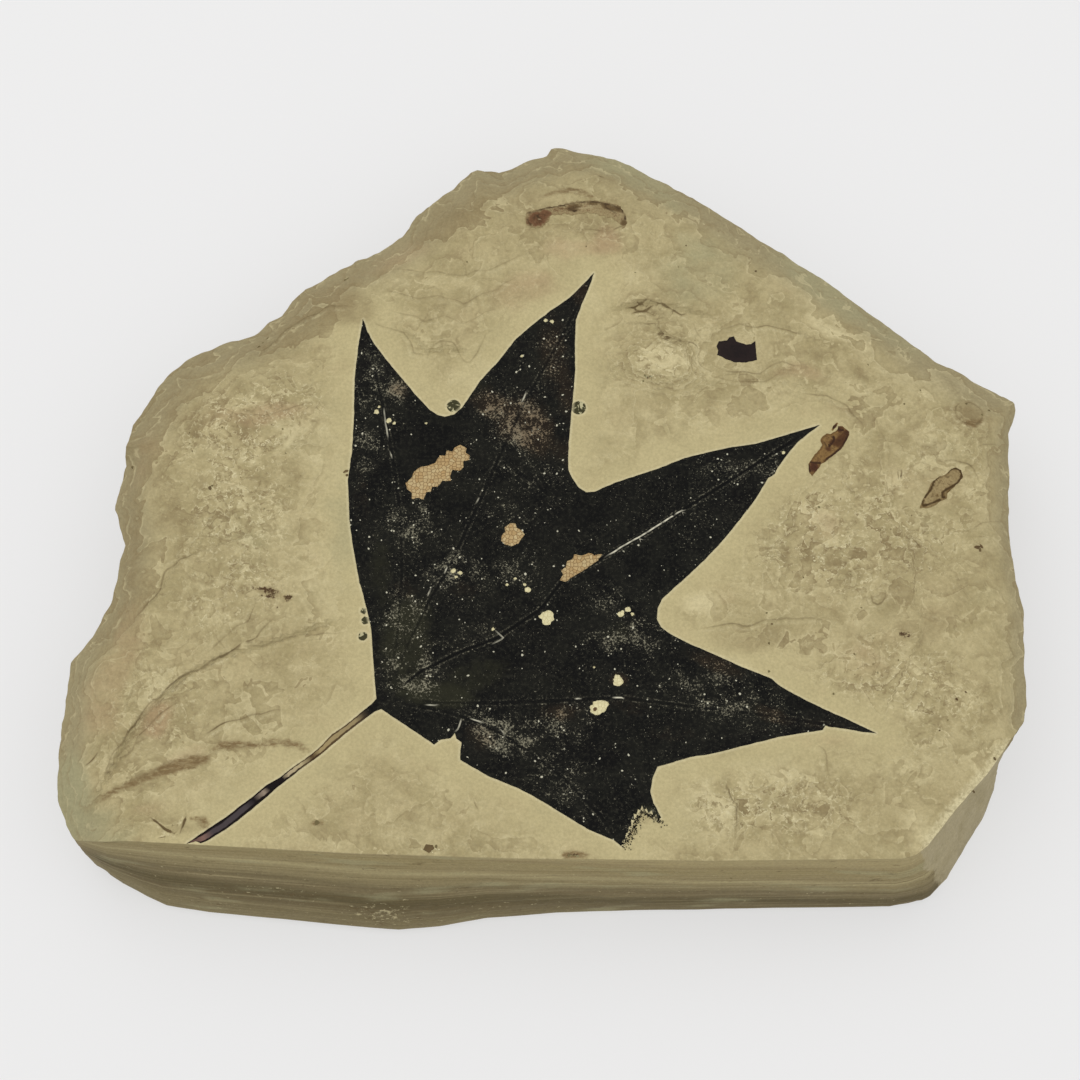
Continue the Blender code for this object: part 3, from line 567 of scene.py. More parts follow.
faceMarks = {
    # each line is a crack or step, drawn dark with painted shade and a painted highlight beside it
    "lines": [
        ([(-85.8, -59), (-82.5, -52), (-78.8, -45.9), (-75, -41.6), (-71.4, -38.3), (-64.8, -34.6),
          (-61.5, -32.6), (-57.5, -30.5), (-54.5, -27.5), (-52.4, -24.8)], 0.75, 0.1),
        ([(-60, -32.6), (-52, -30.6), (-44.6, -29), (-38.4, -28.6)], 0.28, 0.2),
        ([(-83.2, -57.2), (-79, -50), (-74.6, -45.4), (-71, -42.8)], 0.6, 0.2),
        ([(-67.7, -11.1), (-72.5, -13.7), (-75.4, -15.8), (-76.2, -20), (-81.8, -26.3)], 0.5, 0.2),
        ([(-57, -21.6), (-58.6, -26.4), (-63, -29.6), (-66.8, -34)], 0.45, 0.25),
        ([(-67.6, -50), (-66.1, -49.5), (-64.4, -48.7), (-61.8, -47.8), (-58.8, -46.5), (-55.7, -45.4),
          (-50.8, -44.7)], 0.8, 0.25),
        ([(-89.5, -55.8), (-88, -54.6), (-86.5, -53)], 0.9, 0.2),
        ([(-85.6, -59), (-83.7, -56.2), (-81.3, -53.6), (-78.9, -51), (-76.6, -50.2)], 0.75, 0.2),
        ([(-75.7, -66.6), (-73.1, -68.6), (-70.2, -70.1)], 1.6, 0.12),
        ([(-69.2, -66.2), (-69.6, -68), (-70.2, -69.9)], 1.1, 0.2),
        ([(-35.9, 38.8), (-34.5, 37.6), (-31.7, 36.8), (-29.6, 36.1), (-27.8, 34.1), (-27, 31.8),
          (-24.6, 31), (-23.6, 33), (-21.8, 34.1), (-19, 33.3), (-17.2, 30.6), (-15.8, 29.1), (-14.8, 31),
          (-13.4, 33.3), (-12, 36.1), (-10.3, 36.8)], 0.36, 0.08),
        ([(-34, 41.6), (-29, 40.2), (-25, 38.4), (-21, 39.6), (-17, 38.2), (-13, 40.4), (-9, 41.4)],
          0.3, 0.2),
        ([(-36, 46), (-31, 45.6), (-27, 43.5), (-22, 44.5), (-17, 42.6), (-11, 45.5), (-4, 50)],
          0.34, 0.2),
        ([(-34, 52), (-26, 50.6), (-19, 49), (-10, 51), (-2, 56)], 0.28, 0.2),
        ([(15.9, 41.6), (17.5, 42), (18.8, 42.9), (20.2, 42), (22.2, 40.8)], 1.0, 0.2),
        ([(16.6, 40.2), (18.4, 41), (20.4, 40.6), (22.6, 39.4), (24.4, 39.8)], 0.95, 0.2),
        ([(18.9, 44.4), (21.6, 42.9), (24.2, 42), (27.3, 40.1), (28.6, 41.2)], 0.8, 0.2),
        ([(18.8, 38.2), (20.5, 37.8), (21.8, 38.2), (23.1, 36.9), (24.1, 35), (27.2, 33.9), (29.8, 33.7),
          (30.8, 32)], 1.0, 0.15),
        ([(20.4, 36.4), (22.4, 36), (23.4, 34.2), (26.4, 32.8), (28.4, 32.4)], 0.75, 0.2),
        ([(29.6, 38.8), (30.4, 36.2), (31.6, 34.6), (33.2, 32.8)], 0.35, 0.3),
        ([(32, 33), (33.8, 35.6), (35.6, 37.1), (39, 37.8), (44.7, 37.6), (51.4, 36), (56.4, 34.2)],
          0.5, 0.3),
        ([(34, 28.2), (38.4, 27), (43, 27.2), (47.6, 29.6), (53, 28.6)], 0.5, 0.2),
        ([(33, 26.4), (38.6, 25.2), (44, 25.4), (48.6, 27.4)], 0.4, 0.2),
        ([(27.8, -28.8), (32, -27.6), (37.6, -27.3), (43.7, -26.6), (46.4, -25.9), (51.8, -25.5),
          (56.8, -26.2)], 0.5, 0.25),
        ([(70.9, 5.5), (70.3, 3.8)], 1.4, 0.3), ([(71.8, -9.5), (73.6, -11)], 1.0, 0.3),
        ([(83.9, -8.6), (86.5, -8.5)], 0.6, 0.3),
        ([(63.2, -20.1), (63.6, -22.3), (65.4, -23.2), (66.6, -21.8), (66.4, -19.4)], 0.55, 0.2),
        ([(51.3, -51.3), (53.2, -53), (53.9, -55.5), (53.7, -58.8)], 0.35, 0.3),
        ([(33.4, -59), (35.2, -62.4), (36.3, -63.6), (35.6, -71)], 0.55, 0.2),
        ([(-59.6, 32.2), (-56.8, 34.4), (-53.5, 38.4), (-48.7, 41.1), (-45.1, 42.7), (-38.5, 42.3)],
          0.45, 0.15),
        ([(-44, 21), (-51, 19.6), (-56, 17.6), (-62, 17.6), (-66, 19.4)], 0.35, 0.2),
        ([(10.6, 73.4), (11.9, 72.9)], 1.0, 0.3), ([(3.8, 69.8), (5.5, 69.5), (7.2, 68.9)], 0.55, 0.25),
        ([(6.8, 60.1), (9.4, 59.8), (12.2, 59.2), (13.5, 59.4)], 0.45, 0.25),
        ([(13.5, 59.5), (14.6, 60.3), (15.9, 61)], 0.9, 0.25),
        ([(11.5, 62.1), (12.8, 61.8), (11.9, 61.3)], 0.5, 0.3),
        ([(-14.2, -63), (-13.7, -65.4)], 0.5, 0.4),
        ([(83.4, 21), (82.3, 19.8), (82, 18.5), (82.5, 17), (84.1, 16), (86.2, 16), (87.5, 17.2),
          (87.8, 18.5), (87.2, 20.2), (85.9, 21.3), (84.4, 21.3)], 0.5, 0.05),
        ([(83.6, 20.4), (82.9, 18.9), (83.4, 17.4)], 0.4, 0.2),
        ([(76.3, 7.7), (77.8, 7.8), (80.1, 7.7), (81.8, 7.8), (83.5, 7.1), (84.8, 5.7), (85.6, 4.1),
          (86.2, 2.4)], 0.5, 0.25),
        ([(62, 22), (66.4, 16), (68.6, 9), (68.4, 2), (70, -5)], 0.14, 0.2),
        ([(50, 22.4), (56, 22), (60.4, 19.8), (64.6, 13)], 0.4, 0.25), ([(86, 11), (90.6, 12)], 0.5, 0.3),
        ([(82, -8), (88, -5), (92, -4)], 0.35, 0.3),
    ],
    # brown smears: middle line and half widths along it
    "smears": [
        ([(-86.5, -62.9), (-83, -61), (-79.7, -59.5), (-76.1, -57.8), (-72.8, -56.6), (-69, -55.5),
          (-65.6, -54.7)], [0.2, 0.45, 0.6, 0.75, 1.1, 1.3, 0.7]),
        ([(-64.6, -52.9), (-62.9, -52.1), (-60.3, -51.9), (-57.7, -51.9), (-55.5, -51.9), (-53.3, -51.5),
          (-51.6, -51.4), (-49.8, -51.7), (-48.1, -51.9), (-46.9, -52.9), (-45.6, -53.2)],
          [0.1, 0.75, 0.75, 0.55, 0.3, 0.7, 0.35, 0.75, 0.5, 0.3, 0.1]),
        ([(-67.6, -66.6), (-65.8, -67.2), (-64.9, -68.6)], [0.4, 0.8, 0.4]),
        ([(83.9, 16.1), (85.5, 16), (87.5, 16.7)], [0.4, 1.0, 0.4]),
        ([(-44.8, -67.6), (-43.3, -67.4)], [0.4, 0.3]),
        ([(3.2, -74), (5, -73.7), (7.2, -74.1)], [0.5, 0.8, 0.5]),
        ([(-0.6, 67.9), (1.5, 68.8), (4.6, 69.2), (7.6, 68.4), (10, 67.2)], [0.1, 0.45, 0.65, 0.5, 0.15]),
    ],
    # round marks full of dark and pale cells: x, y, radius
    "rings": [
        (-18.9, 19.7, 1.4), (6.3, 19.3, 1.5), (-36.1, -24.4, 0.7), (-35.7, -26.4, 0.85),
        (-36.1, -29.7, 0.95),
    ],
    # specks of dark stain gathered in blobs
    "stains": [
        (-54.6, -20.6, 3.2, 1.9, -12, 1.35), (-51, -21.8, 1.6, 1.3, 0, 1.3),
        (-57.4, -19.6, 2, 0.9, -20, 0.9), (-52.6, -23.6, 2.2, 1.2, 40, 0.6),
        (20.5, 25.6, 1.7, 0.9, 0, 0.8), (69.8, -29.4, 1.9, 1.7, 0, 0.7), (55.4, -5, 3, 3, 0, 0.35),
        (-62, -8, 9, 7, 0, 0.2), (-58, 14, 9, 6, 0, 0.22), (5, -73.8, 2, 0.8, 0, 1.4),
        (18.6, -67, 2.6, 1.5, -15, 0.6), (15.9, -69.8, 2, 1, 55, 0.5), (60, -10, 14, 11, 0, 0.2),
        (72, -32, 12, 16, 0, 0.24), (46, -62, 18, 8, 0, 0.2), (-43.6, -53.2, 1.4, 0.7, 40, 0.8),
        (-36, -46.6, 2.4, 0.9, 40, 0.6), (-66, -35, 8, 4, 40, 0.3), (24, 29, 10, 6, 0, 0.2),
        (12, 60, 4, 3, 0, 0.4),
    ],
    # lighter (+) or darker (-) places: blobs; besides the rock's own tone, some darker ones are painted shade
    # over the left and back of the face and in thin bands below ridges
    "tones": [
        (42, -29.6, 17, 4.4, 4, -0.6), (45, -8, 10, 16, -35, -0.25), (60, -14, 16, 9, 10, -0.3),
        (74, -24, 14, 12, 0, -0.3), (80, -42, 10, 12, 0, -0.2), (56, -62, 24, 7, 0, -0.3),
        (40, -66, 8, 9, 0, -0.35), (28, -64, 6, 9, 0, 0.3), (36, -35.4, 14, 2.6, -25, 0.4),
        (44, -57, 14, 4, -8, 0.25), (-14, 26, 10, 6, 0, 0.3), (-58, -44, 14, 5, 10, 0.2),
        (-55, -37, 12, 4, 35, -0.35), (-72, -30, 8, 14, -30, -0.3), (-60, 16, 18, 5, 10, -0.35),
        (-44, 8, 7, 14, 0, 0.3), (-44, -18, 8, 14, 0, 0.2), (-72, 14, 34, 40, 0, -0.36),
        (-46, 46, 22, 10, 32, -0.35), (66, 34, 30, 8, -35, 0.25), (-82, -26, 12, 16, 0, -0.5),
        (0, 64, 50, 16, 0, -0.4), (30, -22, 5, 5, 0, 0.4), (70, -69, 4, 5, 0, 0.5),
        (-36, -60, 16, 8, 0, -0.2), (6, 57, 12, 4, 20, 0.35), (12, 58, 5, 4, 0, -0.5),
        (24, 30, 11, 7, 0, 0.5), (21, 40.5, 7, 2.6, -20, -0.5), (26, 35.4, 7, 2, -25, -0.45),
        (8.5, 44, 3, 8, 0, 0.3), (18, 49, 3.4, 7, -15, 0.35), (46, 42, 14, 7, -35, -0.2),
        (34, 50, 9, 9, 0, -0.35), (64, 30, 10, 6, -35, -0.15), (-20, 62, 12, 6, 30, -0.3),
        (10, 75, 16, 5, -20, -0.25), (46, 26.6, 12, 2.4, 10, -0.5), (54, 31.4, 8, 1.6, 2, -0.6),
        (63.4, 27, 5, 1.6, -52, -0.6), (66.6, 14, 1.8, 9, 5, -0.6), (58, 36.6, 12, 1.8, -25, 0.4),
        (-43.5, 45, 8, 5, 30, -0.3), (-19.5, 53, 9, 4, 20, -0.35), (-50, 36, 14, 6, 30, -0.4),
        (-44, 30, 8, 5, 0, -0.25), (-76, -2, 6, 14, 10, -0.25), (-82, -44, 6, 12, 0, -0.35),
        (72, -12, 6, 6, 0, -0.2), (86, 16, 8, 9, 0, -0.6), (12, -62, 6, 5, 0, 0.35),
        (-39, 41, 7, 6, 20, -0.6), (-66, 16, 9, 10, 0, -0.45), (8.6, 60, 5, 4, 0, -0.4),
        (60, 20, 9, 5, -40, -0.45), (82, 18, 8, 6, 0, -0.35), (81, -20, 9, 11, 0, -0.4),
        (73, -12, 6, 12, 10, -0.4), (75, -32, 6, 10, 0, -0.35), (-73, -68, 12, 3, 0, -0.5),
        (-48, -41, 9, 5, 30, -0.35), (-56, -1, 5, 5, 0, -0.35), (35, -53, 5, 4, 0, -0.3),
        (58, -53, 10, 4, 0, -0.3), (30, -23, 5, 4, 0, 0.35), (-40, -64, 8, 3, 0, -0.2),
        (-84, -10, 5, 10, 0, -0.3), (-6, 66, 10, 4, 10, -0.2), (-22, 44, 16, 4, 5, -0.3),
        (-30, 48, 10, 3, 0, 0.25), (-64, -62, 10, 4, 30, 0.2), (78, 6, 10, 4, -30, 0.2),
        (-70, -54, 8, 3, 30, 0.25), (46, 20, 8, 3, 20, 0.2), (84, -52, 6, 6, 0, 0.2),
    ],
    # rough places of the cut face: x, z and reach both ways, strength
    "rough": [
        (-33, 7, 10, 5, 0, 1.2), (-54, 11, 14, 4, -10, 0.6), (-66, 5, 9, 4, 0, 0.5),
        (-14, 6, 12, 4, 0, 0.4), (66, 16, 7, 4, 0, 0.6), (52, 8, 3, 5, 0, 0.4),
    ],
    # redder (+) or greener (-) places: blobs
    "hues": [
        (-76, -47, 6, 4, 40, 0.9), (-70, -55, 8, 3, 30, 0.5), (-86, -42, 6, 12, 0, 0.5),
        (-82, -28, 5, 12, 0, 0.4), (12, 57, 5, 5, 0, 0.7), (-4, 46, 10, 6, 0, 0.5),
        (4, 55, 10, 4, 0, 0.6), (-58, 18, 14, 4, 5, 0.6), (50, 27, 9, 3, 0, 0.6),
        (-92, -60, 6, 14, 0, -0.9), (-84, -68, 10, 6, 0, -0.6), (60, 46, 30, 7, -37, -0.6),
        (20, 73, 20, 6, -30, -0.7), (-40, -5, 6, 20, 0, -0.4), (40, -42, 16, 5, -25, -0.5),
        (32, 50, 12, 12, 0, -0.6), (-80, 10, 5, 16, 0, 0.2), (46, -50, 20, 4, 0, 0.2),
        (-30, 56, 10, 6, 30, 0.3), (-78, -66, 10, 3, 20, 0.4), (54, -6, 6, 5, 0, 0.4),
        (-36, 24, 6, 8, 0, -0.3), (12, -64, 7, 4, 0, -0.5), (-60, -8, 10, 10, 0, -0.25),
        (76, 2, 12, 8, 0, 0.2), (64, -34, 12, 12, 0, 0.25),
    ],
}


def paintSlab(piece, stations, onTop, rimSawn, rimCorner):
    count = len(onTop)
    plan = planOf(piece)[onTop]
    _, facts = faceRelief(plan)

    def whole(values, elsewhere):
        full = np.full(count, elsewhere)
        full[onTop] = values
        return full

    onWall = stations > 0
    places = np.array([v.co[:] for v in piece.data.vertices]) / mm
    atRim = onWall & onTop
    rimX = np.zeros(len(rimSawn))
    rimX[stations[atRim] - 1] = places[atRim, 0]
    smooth, stationX = np.zeros(count), np.zeros(count)
    smooth[onWall] = (rimSawn + rimCorner)[stations[onWall] - 1]
    stationX[onWall] = rimX[stations[onWall] - 1]
    footX, perHeight = slabShape["facetFrom"]
    border = footX - perHeight * places[:, 2] + 0.8 * noiseAt(places[:, 1:], 3.0, 12.0)
    corner = smooth * smoothstep(-0.5, 0.5, stationX - border)
    sawn = smooth - corner
    wandering = shifted(plan, 3.5, 0.7, 8.0)
    gap, strength = lineFields(wandering, faceMarks["lines"])
    strength *= 0.55 + 0.45 * smoothstep(-0.25, 0.25, noiseAt(plan, 5.0, 31.0))
    smear = np.full(len(plan), 4.0)
    for line, halves in faceMarks["smears"]:
        smear = np.minimum(smear, ribbonGap(plan, line, halves))
    patch = np.full(len(plan), 4.0)
    for outline in leafShape["patches"]:
        signed = np.where(insideOf(plan, outline), -1.0, 1.0) * nearLine(plan, outline, True)[0]
        patch = np.minimum(patch, signed)
    ringGap = np.full(len(plan), 4.0)
    for x, y, radius in faceMarks["rings"]:
        ringGap = np.minimum(ringGap, np.hypot(plan[:, 0] - x, plan[:, 1] - y) - radius)
    drifted = shifted(plan, 7.0, 1.6, 3.0)
    tones, hues = (np.clip(blobsAt(drifted, faceMarks[name]), -1, 1) for name in ("tones", "hues"))
    paint(piece, {
        "wall": 1.0 - onTop, "sawn": sawn, "corner": corner,
        "rough": blobsAt(places[:, (0, 2)], faceMarks["rough"]) * sawn,
        "fall": whole(facts["fall"], 5.0), "scaly": whole(facts["scaly"], 0.3),
        "climb": whole(facts["climb"], 0.0),
        "leafGap": whole(np.minimum(facts["leafGap"], 20.0), 20.0),
        "lineGap": whole(gap, 2.5), "lineStrength": whole(strength, 0.0),
        "smearGap": whole(smear, 4.0), "patchGap": whole(patch, 4.0), "ringGap": whole(ringGap, 4.0),
        "facetGap": whole(nearLine(plan, slabShape["corner"])[0], 9.0),
        "stain": whole(blobsAt(plan, faceMarks["stains"]), 0.0),
        "tone": whole(tones, 0.0), "hue": whole(hues, 0.0),
    })


# films: thin plates with fine edges, laid on the face

def filmMesh(outlines, cell, lift, depth):
    curve = bpy.data.curves.new("filmPlan", "CURVE")
    curve.dimensions = "2D"
    curve.fill_mode = "BOTH"
    for outline in outlines:
        spline = curve.splines.new("POLY")
        spline.points.add(len(outline) - 1)
        for point, (x, y) in zip(spline.points, outline):
            point.co = (x, y, 0.0, 1.0)
        spline.use_cyclic_u = True
    drawn = bpy.data.objects.new("filmPlan", curve)
    bpy.context.scene.collection.objects.link(drawn)
    filled = drawn.evaluated_get(bpy.context.evaluated_depsgraph_get())
    flat = bpy.data.meshes.new_from_object(filled)
    bpy.data.objects.remove(drawn)
    bpy.data.curves.remove(curve)
    bm = bmesh.new()
    bm.from_mesh(flat)
    bpy.data.meshes.remove(flat)
    bmesh.ops.remove_doubles(bm, verts=bm.verts, dist=0.0005)
    start = np.array([v.co[:2] for v in bm.verts]).min(axis=0) + 0.37 * cell
    reach = np.ptp(np.array([v.co[:2] for v in bm.verts]), axis=0)
    for axis, normal in enumerate(((1.0, 0.0, 0.0), (0.0, 1.0, 0.0))):
        for k in range(int(reach[axis] / cell) + 1):
            place = start[axis] + k * cell
            bmesh.ops.bisect_plane(
                bm, geom=bm.verts[:] + bm.edges[:] + bm.faces[:], dist=0.0002,
                plane_co=[place * part for part in normal], plane_no=normal,
            )

    def onCut(edge):
        for axis in (0, 1):
            a, b = ((v.co[axis] - start[axis]) / cell for v in edge.verts)
            if abs(a - b) < 0.001 and abs(a - round(a)) < 0.001:
                return True
        return False

    # only the cell borders stay, not the fill's own long splinters
    splinters = [e for e in bm.edges if not e.is_boundary and not onCut(e)]
    bmesh.ops.dissolve_edges(bm, edges=splinters, use_verts=False, use_face_split=False)
    bmesh.ops.dissolve_verts(bm, verts=[v for v in bm.verts if len(v.link_edges) == 2 and not v.is_boundary])
    bmesh.ops.triangulate(bm, faces=[f for f in bm.faces if len(f.verts) > 4])
    if sum(f.normal.z for f in bm.faces) < 0.0:
        bmesh.ops.reverse_faces(bm, faces=bm.faces)
    heights, _ = faceRelief(np.array([v.co[:2] for v in bm.verts]))
    for vert, height in zip(bm.verts, heights):
        vert.co.z = slabShape["face"] + height + lift
    raised = bmesh.ops.extrude_edge_only(bm, edges=[e for e in bm.edges if e.is_boundary])["geom"]
    for item in raised:
        if isinstance(item, bmesh.types.BMVert):
            item.co.z -= depth
    rim = [item for item in raised if isinstance(item, bmesh.types.BMEdge) and item.is_boundary]
    bmesh.ops.triangle_fill(bm, edges=rim, use_beauty=True, normal=(0, 0, -1))
    bmesh.ops.recalc_face_normals(bm, faces=bm.faces)
    return bm


def planOf(piece):
    co = np.empty(len(piece.data.vertices) * 3)
    piece.data.vertices.foreach_get("co", co)
    return co.reshape(-1, 3)[:, :2] / mm


def spotOutline(x, y, radius, corners, seed):
    # a ragged blot: a round one pushed about by slow and quick noise
    points = []
    for k in range(corners):
        across, up = math.cos(math.tau * k / corners), math.sin(math.tau * k / corners)
        slow = noise.noise(Vector((across, up, seed)))
        quick = noise.noise(Vector((2.6 * across, 2.6 * up, seed + 0.5)))
        reach = 0.95 + 0.45 * slow + 0.3 * quick
        points.append((x + radius * reach * across, y + radius * reach * up))
    return points


leafFinish = {
    "cell": 0.95, "lift": 0.09, "depth": 0.3, "sharp": 35.0,
    "veinLift": 0.06, "veinReach": 0.45,  # how high the main veins stand, and how wide
    # veins: line, strength, share of the length that fades out
    "veins": [
        ([(-31.5, -42.8), (-24.8, -37.1), (-17.1, -33), (-9.9, -30.1), (-1.5, -24.2), (2.6, -18.5),
          (11.3, -13), (19.3, -8.1), (26.9, -3), (40.5, 6.1), (51.7, 13.7)], 1.0, 0.05),
        ([(-31.2, -41.2), (-29.4, -30.5), (-28.7, -15.8), (-29.3, -3), (-31.1, 8.9), (-33.1, 19.5),
          (-36.5, 34.4)], 0.5, 0.1),
        ([(-30.6, -40.8), (-27.8, -32.6), (-23.1, -22.1), (-19.6, -15.8), (-13.8, -1.9), (-9.5, 8.9),
          (-4.3, 21), (2.6, 34.4), (8.3, 46.9)], 0.6, 0.1),
        ([(-30.6, -42.2), (-20.9, -43.5), (-9.2, -43.5), (2.4, -43), (14.6, -42.4), (29.5, -44.5),
          (43, -46.1), (60.2, -49)], 0.6, 0.1),
        ([(-29.6, -43.3), (-20.8, -44.9), (-13.1, -47.5), (-7.9, -50.4), (2.3, -58), (9.9, -66),
          (13.1, -71)], 0.6, 0.1),
    ],
    # pale scratches where a vein's edge has lost its film
    "streaks": [
        ([(11.3, -13.1), (15.5, -10.4), (19.3, -8.1), (23, -5.6), (27, -2.9)], 1.0, 0.06),
        ([(-33, 19.2), (-32.4, 15), (-31.9, 12.4)], 0.6, 0.2), ([(-31.4, 9.4), (-31.1, 8)], 0.6, 0.3),
        ([(-23.6, -21.4), (-22.8, -19.4)], 0.8, 0.3), ([(-20.4, -16.6), (-19.7, -15)], 0.7, 0.3),
        ([(-14.2, -1.6), (-13.4, 0)], 0.7, 0.3), ([(-5.4, 20), (-4, 23.2)], 0.7, 0.3),
        ([(12.4, -42.4), (14.8, -42.4)], 0.9, 0.2), ([(-15, -46.6), (-12.4, -47.6)], 0.7, 0.3),
        ([(-9.2, -48.6), (-8.2, -50)], 0.6, 0.3),
        ([(-16.6, -46.4), (-17.2, -48.6), (-18, -49.4)], 0.6, 0.3),
        ([(5, -42.6), (6.6, -42.6)], 0.8, 0.3), ([(-24, -43.8), (-21.4, -44)], 0.6, 0.3),
        ([(-10.4, -28.4), (-8.6, -30.2), (-11, -31.4)], 0.6, 0.3),
    ],
    "dustAll": 0.4,          # dust everywhere on the film; the blobs add to it or take from it
    "dust": [
        (-37, 26, 6, 12, 0, 0.8), (-36, 10, 4, 8, 0, 0.7), (-6, 16, 9, 9, 40, 1.0),
        (-12.5, 20, 4, 4, 0, 0.7), (-30.5, 23.4, 4, 4, 0, 0.8), (-27, -6, 8, 8, 0, 0.8),
        (-18, -16, 10, 7, 0, 0.8), (-28, -26, 7, 8, 0, 0.7), (-26, -38, 8, 6, 0, 0.8),
        (-6, -16, 7, 5, 0, 0.7), (-8, -4, 8, 4, 0, 0.5), (16, -30, 12, 7, 0, 0.7),
        (34, -42, 18, 7, -20, 0.7), (-9, -50, 11, 6, -30, 0.9), (2, -48, 12, 6, 0, 0.6),
        (3, -57, 8, 5, -40, 0.5), (42, 6, 10, 5, 20, 0.5), (-2, 5, 10, 5, 0, 0.4),
        (12, -22, 10, 5, 0, 0.4), (0, 30, 5, 9, 0, 0.3), (30, -4, 14, 6, 40, 0.2),
        (2, -62, 10, 5, -35, 0.4), (-14, -30, 8, 4, 20, 0.4), (20, -66, 3, 2, 0, 1.0),
        (16, -68.5, 3, 2, 40, 0.9), (-24, -36, 9, 6, 40, 0.3), (-30, -36, 4, 8, 0, 0.4),
        (36, 8, 9, 3, 15, 0.4), (-25, 9, 9, 8, 30, -0.5), (-20, 16, 6, 4, 0, -0.5),
        (4, 42, 5, 6, 0, -0.2), (20, -14, 10, 5, 40, -0.3), (-10, -35, 9, 3, 10, -0.4),
        (8, -4, 8, 4, 0, -0.4), (30, 3, 10, 4, 30, 0.15), (-16, -2, 6, 5, 0, -0.3),
    ],
    "brown": [
        (-5.5, 16.6, 9, 9, 40, 0.85), (-12.6, 20.8, 5, 5, 0, 0.8), (-1.5, 12.2, 5, 7, 0, 0.8),
        (-30, 23.4, 3.6, 4, 0, 0.7), (1, 32, 5, 13, 0, 0.7), (4, 22, 3, 9, 0, 0.7),
        (32.6, -35.4, 9, 3, -25, 0.8), (43.3, -45.9, 6, 2.6, -20, 0.8), (2.4, -45.3, 7, 3, 0, 0.7),
        (-13.1, -50.4, 6, 4, -30, 0.55), (13.8, -38.7, 3, 2, 0, 1.1), (7, 45, 3, 5, 0, 0.9),
        (4, 9, 4, 5, 0, 0.6), (-37, 0, 3, 10, 0, 0.4), (16, -44, 7, 4, 0, 0.4), (53, -48, 8, 2, -10, 0.5),
        (-28, -20, 6, 4, 0, 0.4), (-16, -20, 5, 4, 0, 0.4), (24, -50, 10, 3, 0, 0.3),
    ],
    "green": [
        (-28, -32, 8, 12, 0, 0.9), (-22, -42, 12, 4, -10, 0.9), (-33, -16, 4, 12, 0, 0.6),
        (-14, -38, 12, 6, 20, 0.6), (19, -66, 4, 3, 0, 1.0), (-26, -24, 8, 6, 0, 0.5),
        (-14, 24, 4, 5, 0, 0.5), (14, -29, 5, 4, 0, 0.6), (-30, 25, 3, 3, 0, 0.6),
        (4, -40, 12, 5, 0, 0.3),
    ],
    "stalk": [
        (-68.8, -71.8), (-65.6, -70.7), (-61.9, -68.3), (-58.5, -65.1), (-55.6, -62.4), (-52.2, -59.7),
        (-49.6, -57.6), (-47.5, -55.8), (-45.2, -54.2), (-43.7, -52.9), (-41.1, -50.3), (-38.5, -48.2),
        (-35.9, -45.9), (-33.8, -44.3),
    ],
}


def buildLeaf():
    holes = [roughened(patch, 0.5, 0.6, 0.16, 4.0) for patch in leafShape["patches"]]
    for k, (x, y, radius) in enumerate(leafShape["paleSpots"]):
        holes.append(spotOutline(x, y, radius, 9 + round(radius * 10), 1.7 * k))
    outer = roughened(leafOutline, 0.7, 1.1, 0.09, 1.0)
    f = leafFinish
    piece = toObject("leafFilm", filmMesh([outer] + holes, f["cell"], f["lift"], f["depth"]), f["sharp"])
    plan = planOf(piece)
    veinGap, veinShare = lineFields(plan, f["veins"])
    streakGap, streakShare = lineFields(shifted(plan, 1.6, 0.12, 4.0), f["streaks"], 1.5)
    stalkGap, stalkSide, along = nearLine(plan, f["stalk"])
    rim = nearLine(plan, leafOutline, True)[0]
    fields = {
        "veinGap": veinGap, "veinShare": veinShare,
        "streakGap": streakGap, "streakShare": streakShare,
        "dust": np.clip(f["dustAll"] + blobsAt(plan, f["dust"]), 0, 1.4),
        "brown": np.clip(blobsAt(plan, f["brown"]), 0, 1),
        "green": np.clip(blobsAt(plan, f["green"]), 0, 1), "stalkAlong": along,
        "stalkAcross": stalkSide * stalkGap / np.maximum(stalkGap + rim, 0.05),
        "stalkShare": (1.0 - smoothstep(0.93, 0.99, along)) * (stalkGap < 2.2),
    }
    paint(piece, fields)
    lift = f["veinLift"] * veinShare * np.exp(-(veinGap / f["veinReach"]) ** 2)
    for vert, more in zip(piece.data.vertices, lift):
        vert.co.z += more * mm
    return piece


# strokes and shades on the small films: strokes as on the face, negative ones pale; shades are blobs

